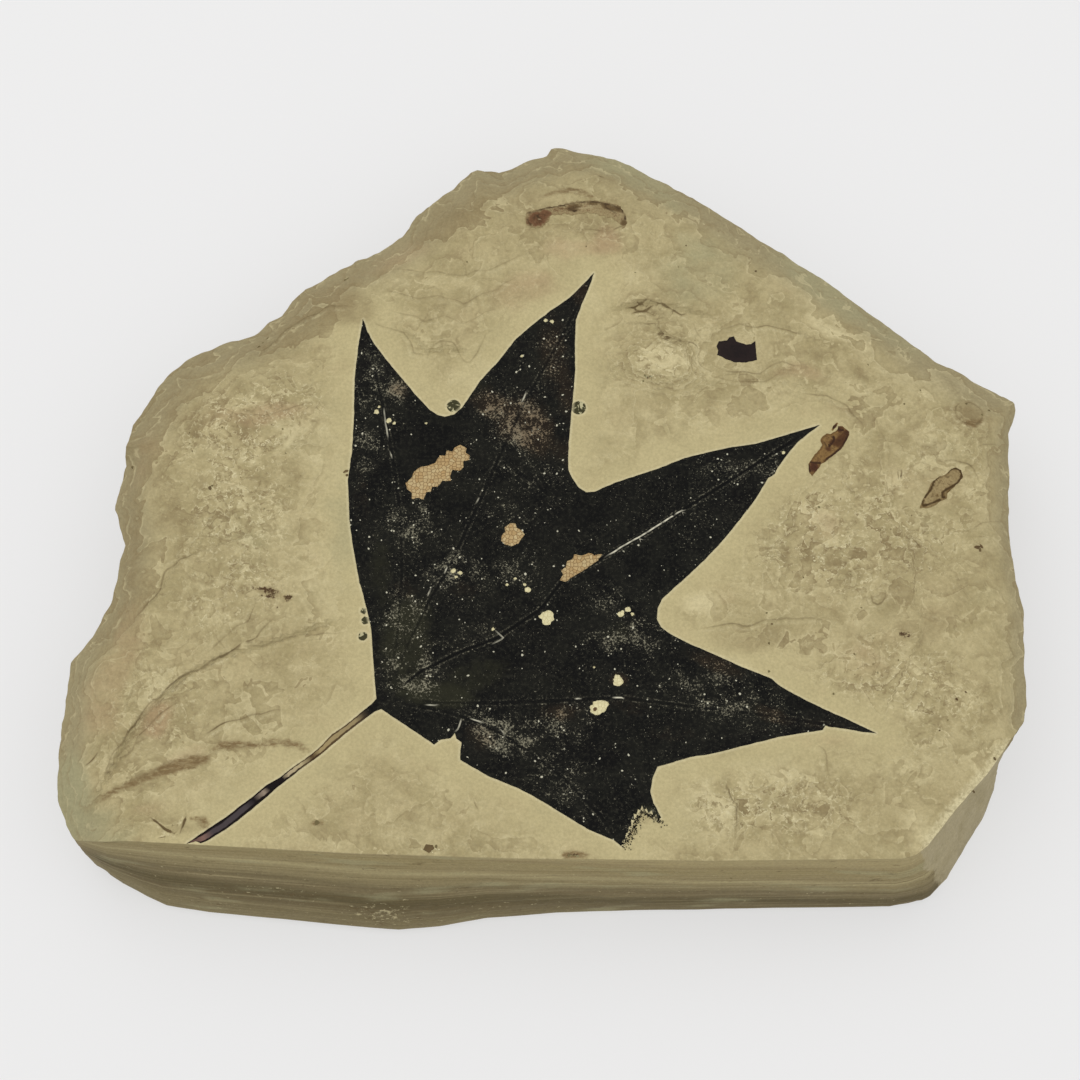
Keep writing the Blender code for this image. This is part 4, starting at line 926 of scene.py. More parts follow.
filmDetails = {
    "barkStrip": {
        "cell": 0.5, "rough": 0.4, "islands": [],
        "strokes": [
            ([(-4.5, 63.2), (-3.8, 63.7), (-2.3, 64.1), (-0.2, 64.8), (3.2, 65.3), (6.3, 66), (9.9, 66.2),
              (13.6, 65.4), (15.4, 64.4), (16.1, 62.6), (16, 61.4)], 0.55, 0.03),
            ([(-4.2, 62.6), (-3.9, 61.4), (-3, 60.4)], 0.5, 0.2),
            ([(-2.4, 63.4), (-1.6, 62.2), (-0.9, 61.3)], 0.8, 0.2),
            ([(-1.9, 62.5), (-1.4, 62)], -0.8, 0.2), ([(5.6, 64.4), (8, 64.9), (10.4, 64.8)], -0.3, 0.2),
            ([(4.2, 64.7), (5.6, 63.9), (6.4, 64.3)], 0.7, 0.2),
            ([(11.6, 65.2), (13.6, 64), (14.6, 63.4)], 0.5, 0.2),
        ],
        "shades": [
            (-2, 62.2, 3.3, 2.6, 20, 1.0), (0, 63.6, 1.4, 1.2, 0, 0.8), (5.4, 64.8, 2.6, 1.3, 10, 0.95),
            (9.6, 65.9, 2.2, 0.7, 0, 0.7), (12.6, 65, 2.6, 1.1, -25, 0.8), (14.9, 64.6, 1.4, 1.4, 0, 0.9),
            (15.8, 61.2, 1.2, 1.2, 0, 0.8), (2.4, 64.4, 2, 0.8, 10, 0.4),
        ],
    },
    "leafScrap": {
        "cell": 0.5, "rough": 0.1, "islands": [], "strokes": [], "shades": [(38.4, 31.8, 6, 4, 0, 1.0)],
    },
    "insectBody": {
        "cell": 0.32, "rough": 0.14,
        "islands": [[(57, 14.4), (57.5, 15.3), (58.2, 16), (58.5, 15.8), (57.9, 15), (57.3, 14.3)]],
        "strokes": [
            ([(52.4, 7.3), (53.5, 7.2), (54.7, 7.1)], 1.0, 0.05),
            ([(52.3, 7), (52.2, 6), (52.5, 5)], 0.8, 0.1),
            ([(56.9, 13.1), (57.4, 12.8), (57.5, 12.2), (56.2, 10.5)], 0.9, 0.15),
            ([(60.5, 13.8), (60, 12.6), (59.3, 11.2), (58.5, 10.2), (57.4, 9.2), (56.2, 8.3), (55, 7.4)],
              0.8, 0.08),
            ([(58, 15), (58.8, 14.3), (59.6, 14.4)], 0.9, 0.15),
            ([(55, 12.2), (55.8, 11.2), (56, 10.2)], 0.4, 0.2), ([(57.2, 14.6), (57.9, 15.5)], 1.0, 0.1),
        ],
        "shades": [
            (58.9, 12.2, 1.6, 2.6, -30, 1.0), (58.8, 14.6, 1.1, 1, 0, 0.9),
            (57.1, 11.5, 1.3, 1.2, 0, 0.7), (56.4, 10.2, 1, 0.8, 0, 0.7), (53.3, 6.2, 1.3, 1.6, 0, 1.0),
            (60.2, 13.8, 0.9, 0.9, 0, 1.0), (57.8, 15.2, 1, 1, 0, 0.9), (55.4, 8.4, 0.8, 0.6, 40, 0.4),
        ],
    },
    "wingedInsect": {
        "cell": 0.32, "rough": 0.1, "islands": [],
        "strokes": [
            ([(74.9, -0.6), (75.4, 0.1), (76.3, 1.3), (77, 2.9), (77.7, 4.1), (78.9, 4.9), (80, 5.4),
              (81, 6), (82.1, 5.9), (82.7, 4.9), (82.5, 3.8), (81.7, 2.8), (80.5, 2), (79.4, 1.4),
              (78.6, 0.7), (78.5, -0.3), (79.3, -0.2)], 1.0, 0.02),
            ([(74.3, -2.1), (75, -2), (75.9, -1.8), (77.2, -1.2), (78.4, -0.6)], 0.9, 0.1),
            ([(74.9, -0.6), (74.6, -1.4), (74.4, -2)], 0.5, 0.2),
            ([(79, 4.6), (79.8, 4), (80.4, 4.6)], 0.4, 0.2),
            ([(82.6, 5), (82.7, 3.8), (82, 2.9)], 0.8, 0.2),
            ([(76.9, 1.6), (77.8, 2.4), (78.4, 3.6)], 0.3, 0.3),
        ],
        "shades": [
            (80.6, 1.7, 2.6, 0.8, 30, 0.8), (82.5, 3.6, 0.8, 1.5, 0, 0.6), (74.9, -2, 0.9, 0.6, 10, 1.0),
            (78.8, 0.2, 0.6, 1.1, 0, 1.0), (81.1, 6, 0.8, 0.5, 0, 1.0), (77.6, 0.2, 0.4, 0.4, 0, 1.0),
            (79.2, 5, 1, 0.5, 20, 0.6), (76, -1.6, 1.4, 0.5, 10, 0.4),
        ],
    },
}


smallFilmShape = {"lift": 0.06, "depth": 0.25, "sharp": 35.0, "specular": 0.15}


def buildSmallFilm(name):
    outline, d, shape = smallOutlines[name], filmDetails[name], smallFilmShape
    outers = [roughened(line, 0.3, 0.7, d["rough"], 2.0) for line in [outline, *d["islands"]]]
    piece = toObject(name, filmMesh(outers, d["cell"], shape["lift"], shape["depth"]), shape["sharp"])
    plan = planOf(piece)
    wandering = shifted(plan, 0.8, 0.12, 5.0)
    strokeGap, stroke = lineFields(wandering, d["strokes"], 1.6)
    stroke *= 0.6 + 0.4 * smoothstep(-0.2, 0.2, noiseAt(plan, 1.3, 14.0))
    left, right = plan[:, 0].min(), plan[:, 0].max()
    paint(piece, {
        "rim": nearLine(plan, outline, True)[0], "lengthShare": (plan[:, 0] - left) / (right - left),
        "strokeGap": strokeGap, "stroke": stroke, "shade": np.clip(blobsAt(wandering, d["shades"]), 0, 1),
    })
    return piece


fleckPlan = {
    # x, y, radius, tint: 0 dark brown, 0.5 olive, 1 cream
    "single": [
        (28.6, 56.1, 0.22, 0.2), (42.9, 50.8, 0.28, 0.1), (8, 55.7, 0.2, 0.2), (26.9, 51.1, 0.16, 0.5),
        (18, 49.7, 0.2, 0.6), (-67.2, 1.7, 0.45, 0.15), (-66.8, 2.2, 0.25, 0.3), (-54.2, 4.8, 0.35, 0.5),
        (48.2, -2.6, 0.25, 0.5), (53.9, -2.4, 0.28, 0.5), (42.9, -24.8, 0.28, 0.4),
        (43.9, -27, 0.26, 0.2), (43.2, -31.1, 0.28, 0.3), (81, -41.3, 0.28, 0), (79.2, -42.7, 0.32, 0),
        (75.6, -49, 0.22, 0.1), (77.3, -46.9, 0.2, 0.4), (55.4, -41.6, 0.22, 0.4), (43, -37, 0.28, 0.5),
        (84.9, -11, 0.6, 0.05), (85.7, -10.7, 0.5, 0.05), (85.4, -11.5, 0.4, 0.1),
        (-83.5, 8.1, 0.4, 0.25), (-58.9, 34.5, 0.4, 0.25), (-57.3, 36.7, 0.3, 0.3),
        (-58.2, 35.6, 0.25, 0.3), (-41.6, 50.1, 0.35, 0.35), (-41.2, 50.5, 0.25, 0.4),
        (-22.5, -72.4, 1.1, 0.1), (-21.2, -72.2, 0.4, 0.3), (-44, -67.5, 0.6, 0.3),
        (86, -54.6, 0.35, 0.15), (9.2, -44.7, 0.5, 0.0), (-16.5, 52.2, 0.24, 0.4), (-40.3, 5.4, 0.5, 0.1),
        (-40, 4.5, 0.3, 0.1), (81.6, -61.2, 0.35, 0.1), (65, 29, 0.24, 0.4), (75.4, 23.5, 0.24, 0.4),
        (71.9, 20.1, 0.24, 0.4), (89.3, 19.6, 0.35, 0.3), (84.6, 20.8, 0.3, 0.3),
        (87.7, 18.4, 0.28, 0.35), (-8.7, -2.7, 0.5, 0.62), (-9.3, -2.4, 0.3, 0.7),
    ],
    # cluster: x, y, spread x, spread y, count, size, lowest and highest tint
    "clusters": [
        (-54.4, -20.7, 2.0, 0.7, 12, 0.2, 0.0, 0.2), (-51, -21.6, 1.0, 0.5, 6, 0.18, 0.0, 0.2),
        (20.5, 25.6, 1.2, 0.5, 10, 0.22, 0.4, 0.8), (4.8, -74, 1.2, 0.2, 6, 0.25, 0.4, 0.6),
        (61, -36, 6, 8, 14, 0.16, 0.2, 0.6), (-60, 4, 12, 14, 18, 0.15, 0.2, 0.6),
        (66, -12, 14, 12, 16, 0.15, 0.2, 0.6), (-22.4, -73, 1.6, 0.3, 6, 0.2, 0.9, 1.0),
        (54, -14, 3, 3, 12, 0.2, 0.9, 1.0),
    ],
    "seed": 7, "thickness": 0.3,
    "lift": 0.03, "tornLift": 0.1,  # above the rock; bits of torn film lie on the film's own level
    # bits of film off the torn lobe: middle line of the tear, spread, count
    "torn": (
        [(21.3, -66.8), (19.4, -65.9), (18, -65), (16.8, -66.4), (15.9, -68.6), (14.9, -70.4), (13.9, -72)],
        1.0, 380,
    ),
}


def buildFlecks():
    bm = bmesh.new()
    tint = bm.verts.layers.float.new("tint")
    luck = random.Random(fleckPlan["seed"])
    flecks = list(fleckPlan["single"])
    for x, y, spreadX, spreadY, count, size, low, high in fleckPlan["clusters"]:
        for _ in range(count):
            flecks.append((
                x + luck.gauss(0, 0.5) * spreadX, y + luck.gauss(0, 0.5) * spreadY,
                size * luck.uniform(0.5, 1.4), luck.uniform(low, high),
            ))
    line, spread, count = fleckPlan["torn"]
    way = densified(line, 0.1, closed=False)
    for _ in range(count):
        x, y = luck.choice(way)
        away = abs(luck.gauss(0.0, 0.7)) * spread
        x = x + 0.6 * away + luck.gauss(0, 0.2)
        y = y - 0.8 * away + luck.gauss(0, 0.2)
        flecks.append((x, y, luck.uniform(0.05, 0.15), -1.0))
    heights, _ = faceRelief(np.array([(x, y) for x, y, _, _ in flecks]))
    for (x, y, radius, hue), height in zip(flecks, heights):
        disc = bmesh.ops.create_circle(bm, cap_ends=True, segments=luck.randint(5, 9), radius=radius)["verts"]
        stretch, turn = luck.uniform(0.55, 1.0), luck.uniform(0, 3.14)
        top = slabShape["face"] + height + fleckPlan["tornLift" if hue < 0 else "lift"]
        for vert in disc:
            wide = luck.uniform(0.7, 1.25)
            px, py = vert.co.x * wide, vert.co.y * wide * stretch
            c, s = math.cos(turn), math.sin(turn)
            vert.co = (x + px * c - py * s, y + px * s + py * c, top)
            vert[tint] = hue
        lowered = bmesh.ops.extrude_face_region(bm, geom=[disc[0].link_faces[0]], use_keep_orig=True)["geom"]
        for item in lowered:
            if isinstance(item, bmesh.types.BMVert):
                item.co.z -= fleckPlan["thickness"]
                item[tint] = hue
    bmesh.ops.recalc_face_normals(bm, faces=bm.faces)
    return toObject("darkFlecks", bm, 30.0)


# node helpers

def srgb(red, green, blue):
    # a colour as picked on screen, made linear
    parts = [c / 255.0 for c in (red, green, blue)]
    return tuple(((c + 0.055) / 1.055) ** 2.4 if c > 10 / 255.0 else c / 12.92 for c in parts) + (1.0,)


def node(tree, kind, inputs=None, **settings):
    made = tree.nodes.new(kind)
    for name, value in settings.items():
        setattr(made, name, value)
    for key, value in (inputs or {}).items():
        if isinstance(value, bpy.types.NodeSocket):
            tree.links.new(value, made.inputs[key])
        else:
            made.inputs[key].default_value = value
    return made


def calc(tree, operation, a, b=0.0, c=0.0, clamp=False):
    made = node(tree, "ShaderNodeMath", {0: a, 1: b, 2: c}, operation=operation, use_clamp=clamp)
    return made.outputs[0]


def times(tree, a, b, clamp=False):
    return calc(tree, "MULTIPLY", a, b, clamp=clamp)


def plus(tree, a, b):
    return calc(tree, "ADD", a, b)


def minus(tree, a, b, clamp=False):
    return calc(tree, "SUBTRACT", a, b, clamp=clamp)


def timesPlus(tree, a, b, c):
    return calc(tree, "MULTIPLY_ADD", a, b, c)


def ease(tree, value, low, high, toLow=0.0, toHigh=1.0):
    # a soft step from toLow to toHigh while the value goes from low to high
    inputs = {0: value, 1: low, 2: high, 3: toLow, 4: toHigh}
    return node(tree, "ShaderNodeMapRange", inputs, interpolation_type="SMOOTHSTEP").outputs[0]


def blendColour(tree, share, a, b, how="MIX"):
    inputs = {0: share, 6: a, 7: b}
    return node(tree, "ShaderNodeMix", inputs, data_type="RGBA", blend_type=how, clamp_factor=True).outputs[2]


def tinted(tree, colour, other, *shares):
    # another colour laid over this one, by the product of the shares
    share = shares[0]
    for more in shares[1:]:
        share = times(tree, share, more)
    return blendColour(tree, share, colour, other)


def toned(tree, colour, tone):
    # the colour made lighter or darker by one factor
    grey = node(tree, "ShaderNodeCombineColor", {0: tone, 1: tone, 2: tone}).outputs[0]
    return blendColour(tree, 1.0, colour, grey, "MULTIPLY")


def field(tree, name):
    return node(tree, "ShaderNodeAttribute", attribute_name=name, attribute_type="GEOMETRY").outputs["Fac"]


def noiseNode(tree, vector, scale, detail=2.0, rough=0.5, distort=0.0):
    inputs = {"Vector": vector, "Scale": scale, "Detail": detail, "Roughness": rough, "Distortion": distort}
    return node(tree, "ShaderNodeTexNoise", inputs).outputs["Fac"]


def rampOf(tree, value, stops):
    made = node(tree, "ShaderNodeValToRGB", {0: value})
    elements = made.color_ramp.elements
    elements[0].position, elements[0].color = stops[0]
    elements[1].position, elements[1].color = stops[-1]
    for place, colour in stops[1:-1]:
        elements.new(place).color = colour
    return made.outputs[0]


def vectorMath(tree, operation, inputs):
    return node(tree, "ShaderNodeVectorMath", inputs, operation=operation).outputs[0]


def objectPlace(tree):
    # object coordinates in millimetres
    place = node(tree, "ShaderNodeTexCoord").outputs["Object"]
    return vectorMath(tree, "SCALE", {0: place, "Scale": 1000.0})


def stretched(tree, vector, scale):
    return node(tree, "ShaderNodeMapping", {"Vector": vector, "Scale": scale}).outputs[0]


def shaken(tree, place, scale, amount, detail):
    # the place moved about by noise of this scale
    cloud = node(tree, "ShaderNodeTexNoise", {"Vector": place, "Scale": scale, "Detail": detail})
    middle = (0.5, 0.5, 0.5)
    centred = vectorMath(tree, "SUBTRACT", {0: cloud.outputs["Color"], 1: middle})
    return vectorMath(tree, "ADD", {0: place, 1: vectorMath(tree, "SCALE", {0: centred, "Scale": amount})})


def newGroup(name, amounts, results):
    # a shader group that reads a place and some amounts, and puts out values that vary over the surface
    group = bpy.data.node_groups.new(name, "ShaderNodeTree")
    group.interface.new_socket("Place", in_out="INPUT", socket_type="NodeSocketVector")
    for title, value in amounts.items():
        socket = group.interface.new_socket(title, in_out="INPUT", socket_type="NodeSocketFloat")
        socket.default_value = value
    for title in results:
        group.interface.new_socket(title, in_out="OUTPUT", socket_type="NodeSocketFloat")
    return group, node(group, "NodeGroupInput").outputs, node(group, "NodeGroupOutput").inputs


def useGroup(tree, group, inputs):
    return node(tree, "ShaderNodeGroup", inputs, node_tree=group).outputs


def rockGrainGroup():
    # fine mud grain and soft mottling, both about 0 to 1
    tree, given, result = newGroup("rockGrain", {"Size": 1.0}, ("Grain", "Mottle"))
    scale = calc(tree, "DIVIDE", 1.0, given["Size"])
    place = given["Place"]
    tree.links.new(noiseNode(tree, place, times(tree, scale, 1.7), 3.0, 0.7), result["Grain"])
    tree.links.new(noiseNode(tree, place, times(tree, scale, 0.16), 4.0, 0.62, 0.6), result["Mottle"])
    return tree


def beddingGroup():
    # laminae, which lie level: fine streaks that fade in and out, and a slow waver of their height
    tree, given, result = newGroup("beddingBands", {}, ("Fine", "Streak", "Waver"))
    fine = stretched(tree, given["Place"], (0.02, 0.02, 1.5))
    streak = stretched(tree, given["Place"], (0.035, 0.035, 4.0))
    tree.links.new(noiseNode(tree, fine, 1.0, 3.0, 0.6, 0.2), result["Fine"])
    tree.links.new(noiseNode(tree, streak, 1.0, 3.0, 0.7), result["Streak"])
    waver = stretched(tree, given["Place"], (0.018, 0.018, 0.05))
    tree.links.new(noiseNode(tree, waver, 1.0, 2.0, 0.5), result["Waver"])
    return tree


def tornGroup():
    # thin layers torn back one over another: a tone for each layer, a stepped height, and along the torn
    # edges a pale sliver of painted highlight and a dark sliver of painted shade
    tree, given, result = newGroup(
        "tornLayers", {"Size": 6.0, "Layers": 5.0, "Climb": 0.0}, ("Tone", "Step", "Part", "Highlight", "Shade"))
    scale = calc(tree, "DIVIDE", 1.0, given["Size"])
    place = shaken(tree, given["Place"], times(tree, scale, 1.7), times(tree, given["Size"], 0.8), 2.0)
    lumps = noiseNode(tree, place, scale, 4.0, 0.55)
    climb = timesPlus(tree, lumps, given["Layers"], given["Climb"])
    level, part = calc(tree, "FLOOR", climb), calc(tree, "FRACT", climb)
    tree.links.new(part, result["Part"])
    tone = node(tree, "ShaderNodeTexWhiteNoise", {"W": level}, noise_dimensions="1D").outputs["Value"]
    tree.links.new(tone, result["Tone"])
    tree.links.new(plus(tree, level, ease(tree, part, 0.0, 0.18)), result["Step"])
    broken = noiseNode(tree, given["Place"], times(tree, scale, 3.5), 2.0, 0.7)
    # the pale sliver on each torn edge is painted highlight, the dark one below it painted shade
    tree.links.new(times(tree, ease(tree, part, 0.2, 0.02), ease(tree, broken, 0.42, 0.58)), result["Highlight"])
    tree.links.new(times(tree, ease(tree, part, 0.6, 0.98), ease(tree, broken, 0.6, 0.4)), result["Shade"])
    return tree


def flowGroup():
    # contour-like bands, as where the split runs slowly through the laminae
    tree, given, result = newGroup("flowBands", {"Climb": 0.0}, ("Band",))
    slow = noiseNode(tree, stretched(tree, given["Place"], (1.0, 1.0, 0.0)), 0.03, 3.0, 0.42, 0.5)
    climb = plus(tree, times(tree, slow, 26.0), given["Climb"])
    wave = times(tree, calc(tree, "PINGPONG", climb, 0.5), 2.0)
    second = times(tree, calc(tree, "PINGPONG", times(tree, climb, 2.7), 0.5), 2.0)
    tree.links.new(timesPlus(tree, second, 0.45, times(tree, wave, 0.55)), result["Band"])
    return tree


def veinMeshGroup():
    # the leaf's finest veins, as a mesh of small cells
    tree, given, result = newGroup("veinMesh", {"Cell": 0.7}, ("Vein", "Tint"))
    scale = calc(tree, "DIVIDE", 1.0, given["Cell"])
    inputs = {"Vector": given["Place"], "Scale": scale, "Randomness": 0.8}
    edges = node(tree, "ShaderNodeTexVoronoi", inputs, feature="DISTANCE_TO_EDGE", voronoi_dimensions="2D")
    cells = node(tree, "ShaderNodeTexVoronoi", inputs, feature="F1", voronoi_dimensions="2D")
    tree.links.new(ease(tree, edges.outputs["Distance"], 0.14, 0.02), result["Vein"])
    tint = node(tree, "ShaderNodeSeparateColor", {0: cells.outputs["Color"]}).outputs[0]
    tree.links.new(tint, result["Tint"])
    return tree


def speckGroup():
    # small round specks of mixed size, more of them where Amount is high
    tree, given, result = newGroup("specks", {"Size": 0.5, "Amount": 0.5}, ("Mask",))
    scale = calc(tree, "DIVIDE", 1.0, given["Size"])
    flat = stretched(tree, given["Place"], (1.0, 1.0, 0.0))
    inputs = {"Vector": flat, "Scale": scale, "Randomness": 1.0}
    cells = node(tree, "ShaderNodeTexVoronoi", inputs, feature="F1")
    parts = node(tree, "ShaderNodeSeparateColor", {0: cells.outputs["Color"]}).outputs
    here = calc(tree, "GREATER_THAN", given["Amount"], parts[0])
    reach = timesPlus(tree, parts[1], 0.28, 0.14)
    blot = minus(tree, reach, cells.outputs["Distance"])
    tree.links.new(times(tree, here, ease(tree, blot, -0.03, 0.1)), result["Mask"])
    return tree


def newMaterial(name):
    made = bpy.data.materials.new(name)
    made.use_nodes = True
    tree = made.node_tree
    shader = tree.nodes["Principled BSDF"]
    return made, tree, shader


def bump(tree, height, strength, distance, normal=None):
    inputs = {"Height": height, "Strength": strength, "Distance": distance}
    if normal is not None:
        inputs["Normal"] = normal
    return node(tree, "ShaderNodeBump", inputs).outputs[0]


rockFinish = {
    "plain": srgb(182, 169, 128), "deep": srgb(164, 151, 111), "pale": srgb(207, 195, 153),
    "nearLeaf": srgb(193, 181, 137), "margin": srgb(150, 139, 107), "warm": srgb(170, 145, 111),
    "green": srgb(160, 156, 121), "line": srgb(100, 84, 55), "smear": srgb(120, 99, 66),
    "stain": srgb(80, 60, 40), "patch": srgb(176, 147, 101), "patchVein": srgb(104, 74, 44),
    "spot": srgb(228, 220, 176), "spotVein": srgb(176, 164, 112), "facet": srgb(166, 155, 124),
    # next: a pale that is the rock's pale rims and crumbs and also painted highlight on torn edges and
    # cracks, and a dark that is painted shade below those edges and beside cracks as well as a darker tone of
    # the rock
    "paleAndHighlight": srgb(220, 210, 170), "lipShade": srgb(136, 120, 86), "ring": srgb(62, 60, 38),
    "ringPale": srgb(186, 180, 142),
    # tones of the laminae down a cut face, by share of the slab's height
    "laminae": [
        (0.0, srgb(129, 118, 87)), (0.1, srgb(118, 107, 77)), (0.16, srgb(114, 103, 75)),
        (0.23, srgb(106, 95, 68)), (0.29, srgb(94, 84, 58)), (0.36, srgb(98, 88, 61)),
        (0.43, srgb(121, 109, 80)), (0.5, srgb(116, 105, 76)), (0.56, srgb(139, 127, 93)),
        (0.6, srgb(133, 121, 87)), (0.66, srgb(160, 148, 110)), (0.72, srgb(142, 129, 93)),
        (0.84, srgb(147, 134, 95)), (0.9, srgb(144, 130, 93)), (0.97, srgb(160, 146, 106)),
    ],
    "laminaTilt": 0.055,
    # torn layers of three sizes
    "broad": {"Size": 14.0, "Layers": 6.0}, "flakes": {"Size": 5.5, "Layers": 6.0},
    "chips": {"Size": 2.2, "Layers": 3.6},
    "roughness": 0.88, "roughnessPlay": 0.06, "specular": 0.2,
    "relief": 0.5,           # strength of the one bump
}


def rockMaterial(groups):
    made, tree, shader = newMaterial("shale")
    f = rockFinish
    place = objectPlace(tree)
    grain = useGroup(tree, groups["grain"], {"Place": place, "Size": 1.0})
    bands = useGroup(tree, groups["bedding"], {"Place": place})
    flat = stretched(tree, place, (1.0, 1.0, 0.3))
    climb = field(tree, "climb")
    broad = useGroup(tree, groups["torn"], {**f["broad"], "Place": flat, "Climb": times(tree, climb, 0.45)})
    flakes = useGroup(tree, groups["torn"], {**f["flakes"], "Place": flat, "Climb": climb})
    squeezed = stretched(tree, flat, (1.0, 1.4, 1.0))
    chips = useGroup(tree, groups["torn"], {**f["chips"], "Place": squeezed, "Climb": climb})
    mesh = useGroup(tree, groups["veins"], {"Place": place, "Cell": 0.75})
    wall, scaly, leafGap = field(tree, "wall"), field(tree, "scaly"), field(tree, "leafGap")

    # how light and how warm each place of the split face is; the tone field brings in the rock's own tone and
    # painted shade
    wobble = minus(tree, noiseNode(tree, place, 0.24, 4.0, 0.65, 0.4), 0.5)
    slow = noiseNode(tree, stretched(tree, place, (0.9, 1.2, 1.0)), 0.11, 4.0, 0.62, 0.3)
    fall = timesPlus(tree, wobble, 1.6, field(tree, "fall"))
    flow = useGroup(tree, groups["flow"], {"Place": place, "Climb": climb})["Band"]
    openFace = ease(tree, leafGap, 1.0, 9.0)  # the rock is plain close to the leaf
    busy = timesPlus(tree, scaly, 0.9, 0.2)
    busy = times(tree, busy, times(tree, openFace, ease(tree, field(tree, "fall"), 0.2, 1.6, 1.0, 0.3)))
    light = timesPlus(tree, wobble, timesPlus(tree, scaly, 1.1, 0.7), field(tree, "tone"))
    for high, low, where, amount in (
        (broad["Tone"], 0.5, openFace, 0.4), (0.5, broad["Part"], openFace, 0.3),
        (flakes["Tone"], 0.5, busy, 0.75), (0.5, flakes["Part"], busy, 0.6),
        (chips["Tone"], 0.5, busy, 0.9), (flow, 0.5, openFace, 0.25),
    ):
        light = timesPlus(tree, minus(tree, high, low), times(tree, where, amount), light)
    colour = blendColour(tree, ease(tree, grain["Mottle"], 0.34, 0.66), f["deep"], f["plain"])
    colour = tinted(tree, colour, f["nearLeaf"], ease(tree, leafGap, 13.0, 1.0), 0.7)
    colour = tinted(tree, colour, f["margin"], ease(tree, fall, 0.2, 3.6), 0.85)
    colour = tinted(tree, colour, f["pale"], ease(tree, light, 0.0, 1.0), 0.85)
    colour = tinted(tree, colour, f["lipShade"], ease(tree, light, 0.0, -1.1), 0.8)
    hue = timesPlus(tree, minus(tree, slow, 0.5), 1.1, field(tree, "hue"))
    colour = tinted(tree, colour, f["warm"], ease(tree, hue, 0.0, 1.0), 0.75)
    colour = tinted(tree, colour, f["green"], ease(tree, hue, 0.0, -1.0), 0.75)
    # painted highlight and painted shade along the torn edges of flakes and chips
    colour = tinted(tree, colour, f["paleAndHighlight"], flakes["Highlight"], busy, 0.75)
    colour = tinted(tree, colour, f["lipShade"], flakes["Shade"], busy, 0.75)
    colour = tinted(tree, colour, f["paleAndHighlight"], chips["Highlight"], busy, 0.6)
    # painted highlight and painted shade along the broad layers' torn edges
    broadEdge = times(tree, openFace, 0.4)
    colour = tinted(tree, colour, f["pale"], broad["Highlight"], broadEdge)
    colour = tinted(tree, colour, f["lipShade"], broad["Shade"], broadEdge)

    # stains, cracks and the leaf's print where its film has gone
    ragged = times(tree, minus(tree, noiseNode(tree, place, 0.9, 4.0, 0.7), 0.5), 1.6)
    smear = plus(tree, field(tree, "smearGap"), ragged)
    streaky = noiseNode(tree, stretched(tree, place, (0.5, 1.6, 1.0)), 1.0, 3.0, 0.7)
    streaky = ease(tree, streaky, 0.3, 0.62, 0.35, 0.95)
    colour = tinted(tree, colour, f["smear"], ease(tree, smear, 0.6, -0.5), streaky)
    stain = field(tree, "stain")
    colour = tinted(tree, colour, f["smear"], ease(tree, stain, 0.2, 1.0), 0.35)
    dots = timesPlus(tree, noiseNode(tree, place, 0.8, 4.0, 0.75), 1.0, times(tree, stain, 0.26))
    colour = tinted(tree, colour, f["stain"], ease(tree, dots, 0.72, 0.82), ease(tree, stain, 0.05, 0.3))
    # cracks and small steps: a dark line that is the crack with painted shadow in it, painted shade beside
    # it, and a painted highlight along its lip
    signed = field(tree, "lineGap")
    strength = field(tree, "lineStrength")
    thread = timesPlus(tree, ragged, 0.2, calc(tree, "ABSOLUTE", signed))
    thread = timesPlus(tree, calc(tree, "MAXIMUM", minus(tree, strength, 0.75), 0.0), -0.35, thread)
    crackWithShadow = times(tree, ease(tree, thread, 0.26, 0.04), strength, clamp=True)
    crackShade = times(tree, ease(tree, plus(tree, signed, ragged), 1.0, -0.1), times(tree, strength, 0.2))
    crackShade = times(tree, crackShade, ease(tree, signed, -0.6, -0.1))
    litLip = times(tree, ease(tree, calc(tree, "ABSOLUTE", plus(tree, signed, 0.75)), 0.5, 0.1), strength)
    litLip = times(tree, litLip, ease(tree, ragged, -0.2, 0.3))
    colour = tinted(tree, colour, f["lipShade"], crackShade)
    colour = tinted(tree, colour, f["paleAndHighlight"], litLip, 0.7)
    colour = tinted(tree, colour, f["line"], crackWithShadow)
    patchGap = field(tree, "patchGap")
    printed = blendColour(tree, times(tree, mesh["Tint"], 0.3), f["patch"], f["spot"])
    printed = tinted(tree, printed, f["patchVein"], mesh["Vein"], 0.75)
    colour = tinted(tree, colour, printed, ease(tree, patchGap, 1.2, 0.6))
    under = ease(tree, leafGap, 0.05, 0.0)
    bare = blendColour(tree, times(tree, mesh["Vein"], 0.5), f["spot"], f["spotVein"])
    colour = tinted(tree, colour, bare, under, ease(tree, patchGap, 0.8, 1.4), 0.8)
    ringGap = timesPlus(tree, ragged, 0.15, field(tree, "ringGap"))
    maze = ease(tree, noiseNode(tree, place, 1.1, 2.0, 0.5, 0.8), 0.55, 0.62)
    colour = tinted(tree, colour, f["paleAndHighlight"], ease(tree, ringGap, 0.6, 0.2), 0.3)
    ringCells = blendColour(tree, maze, f["ring"], f["ringPale"])
    colour = tinted(tree, colour, ringCells, ease(tree, ringGap, 0.08, -0.08))
    besideLeaf = times(tree, ease(tree, leafGap, 0.7, 0.1), ease(tree, leafGap, 0.0, 0.04))
    colour = tinted(tree, colour, f["paleAndHighlight"], besideLeaf, 0.5)
    rimNoise = timesPlus(tree, ragged, 2.4, field(tree, "facetGap"))
    crumbs = times(tree, ease(tree, rimNoise, 2.2, 0.0), ease(tree, grain["Grain"], 0.35, 0.6, 0.35, 0.8))
    colour = tinted(tree, colour, f["paleAndHighlight"], crumbs)

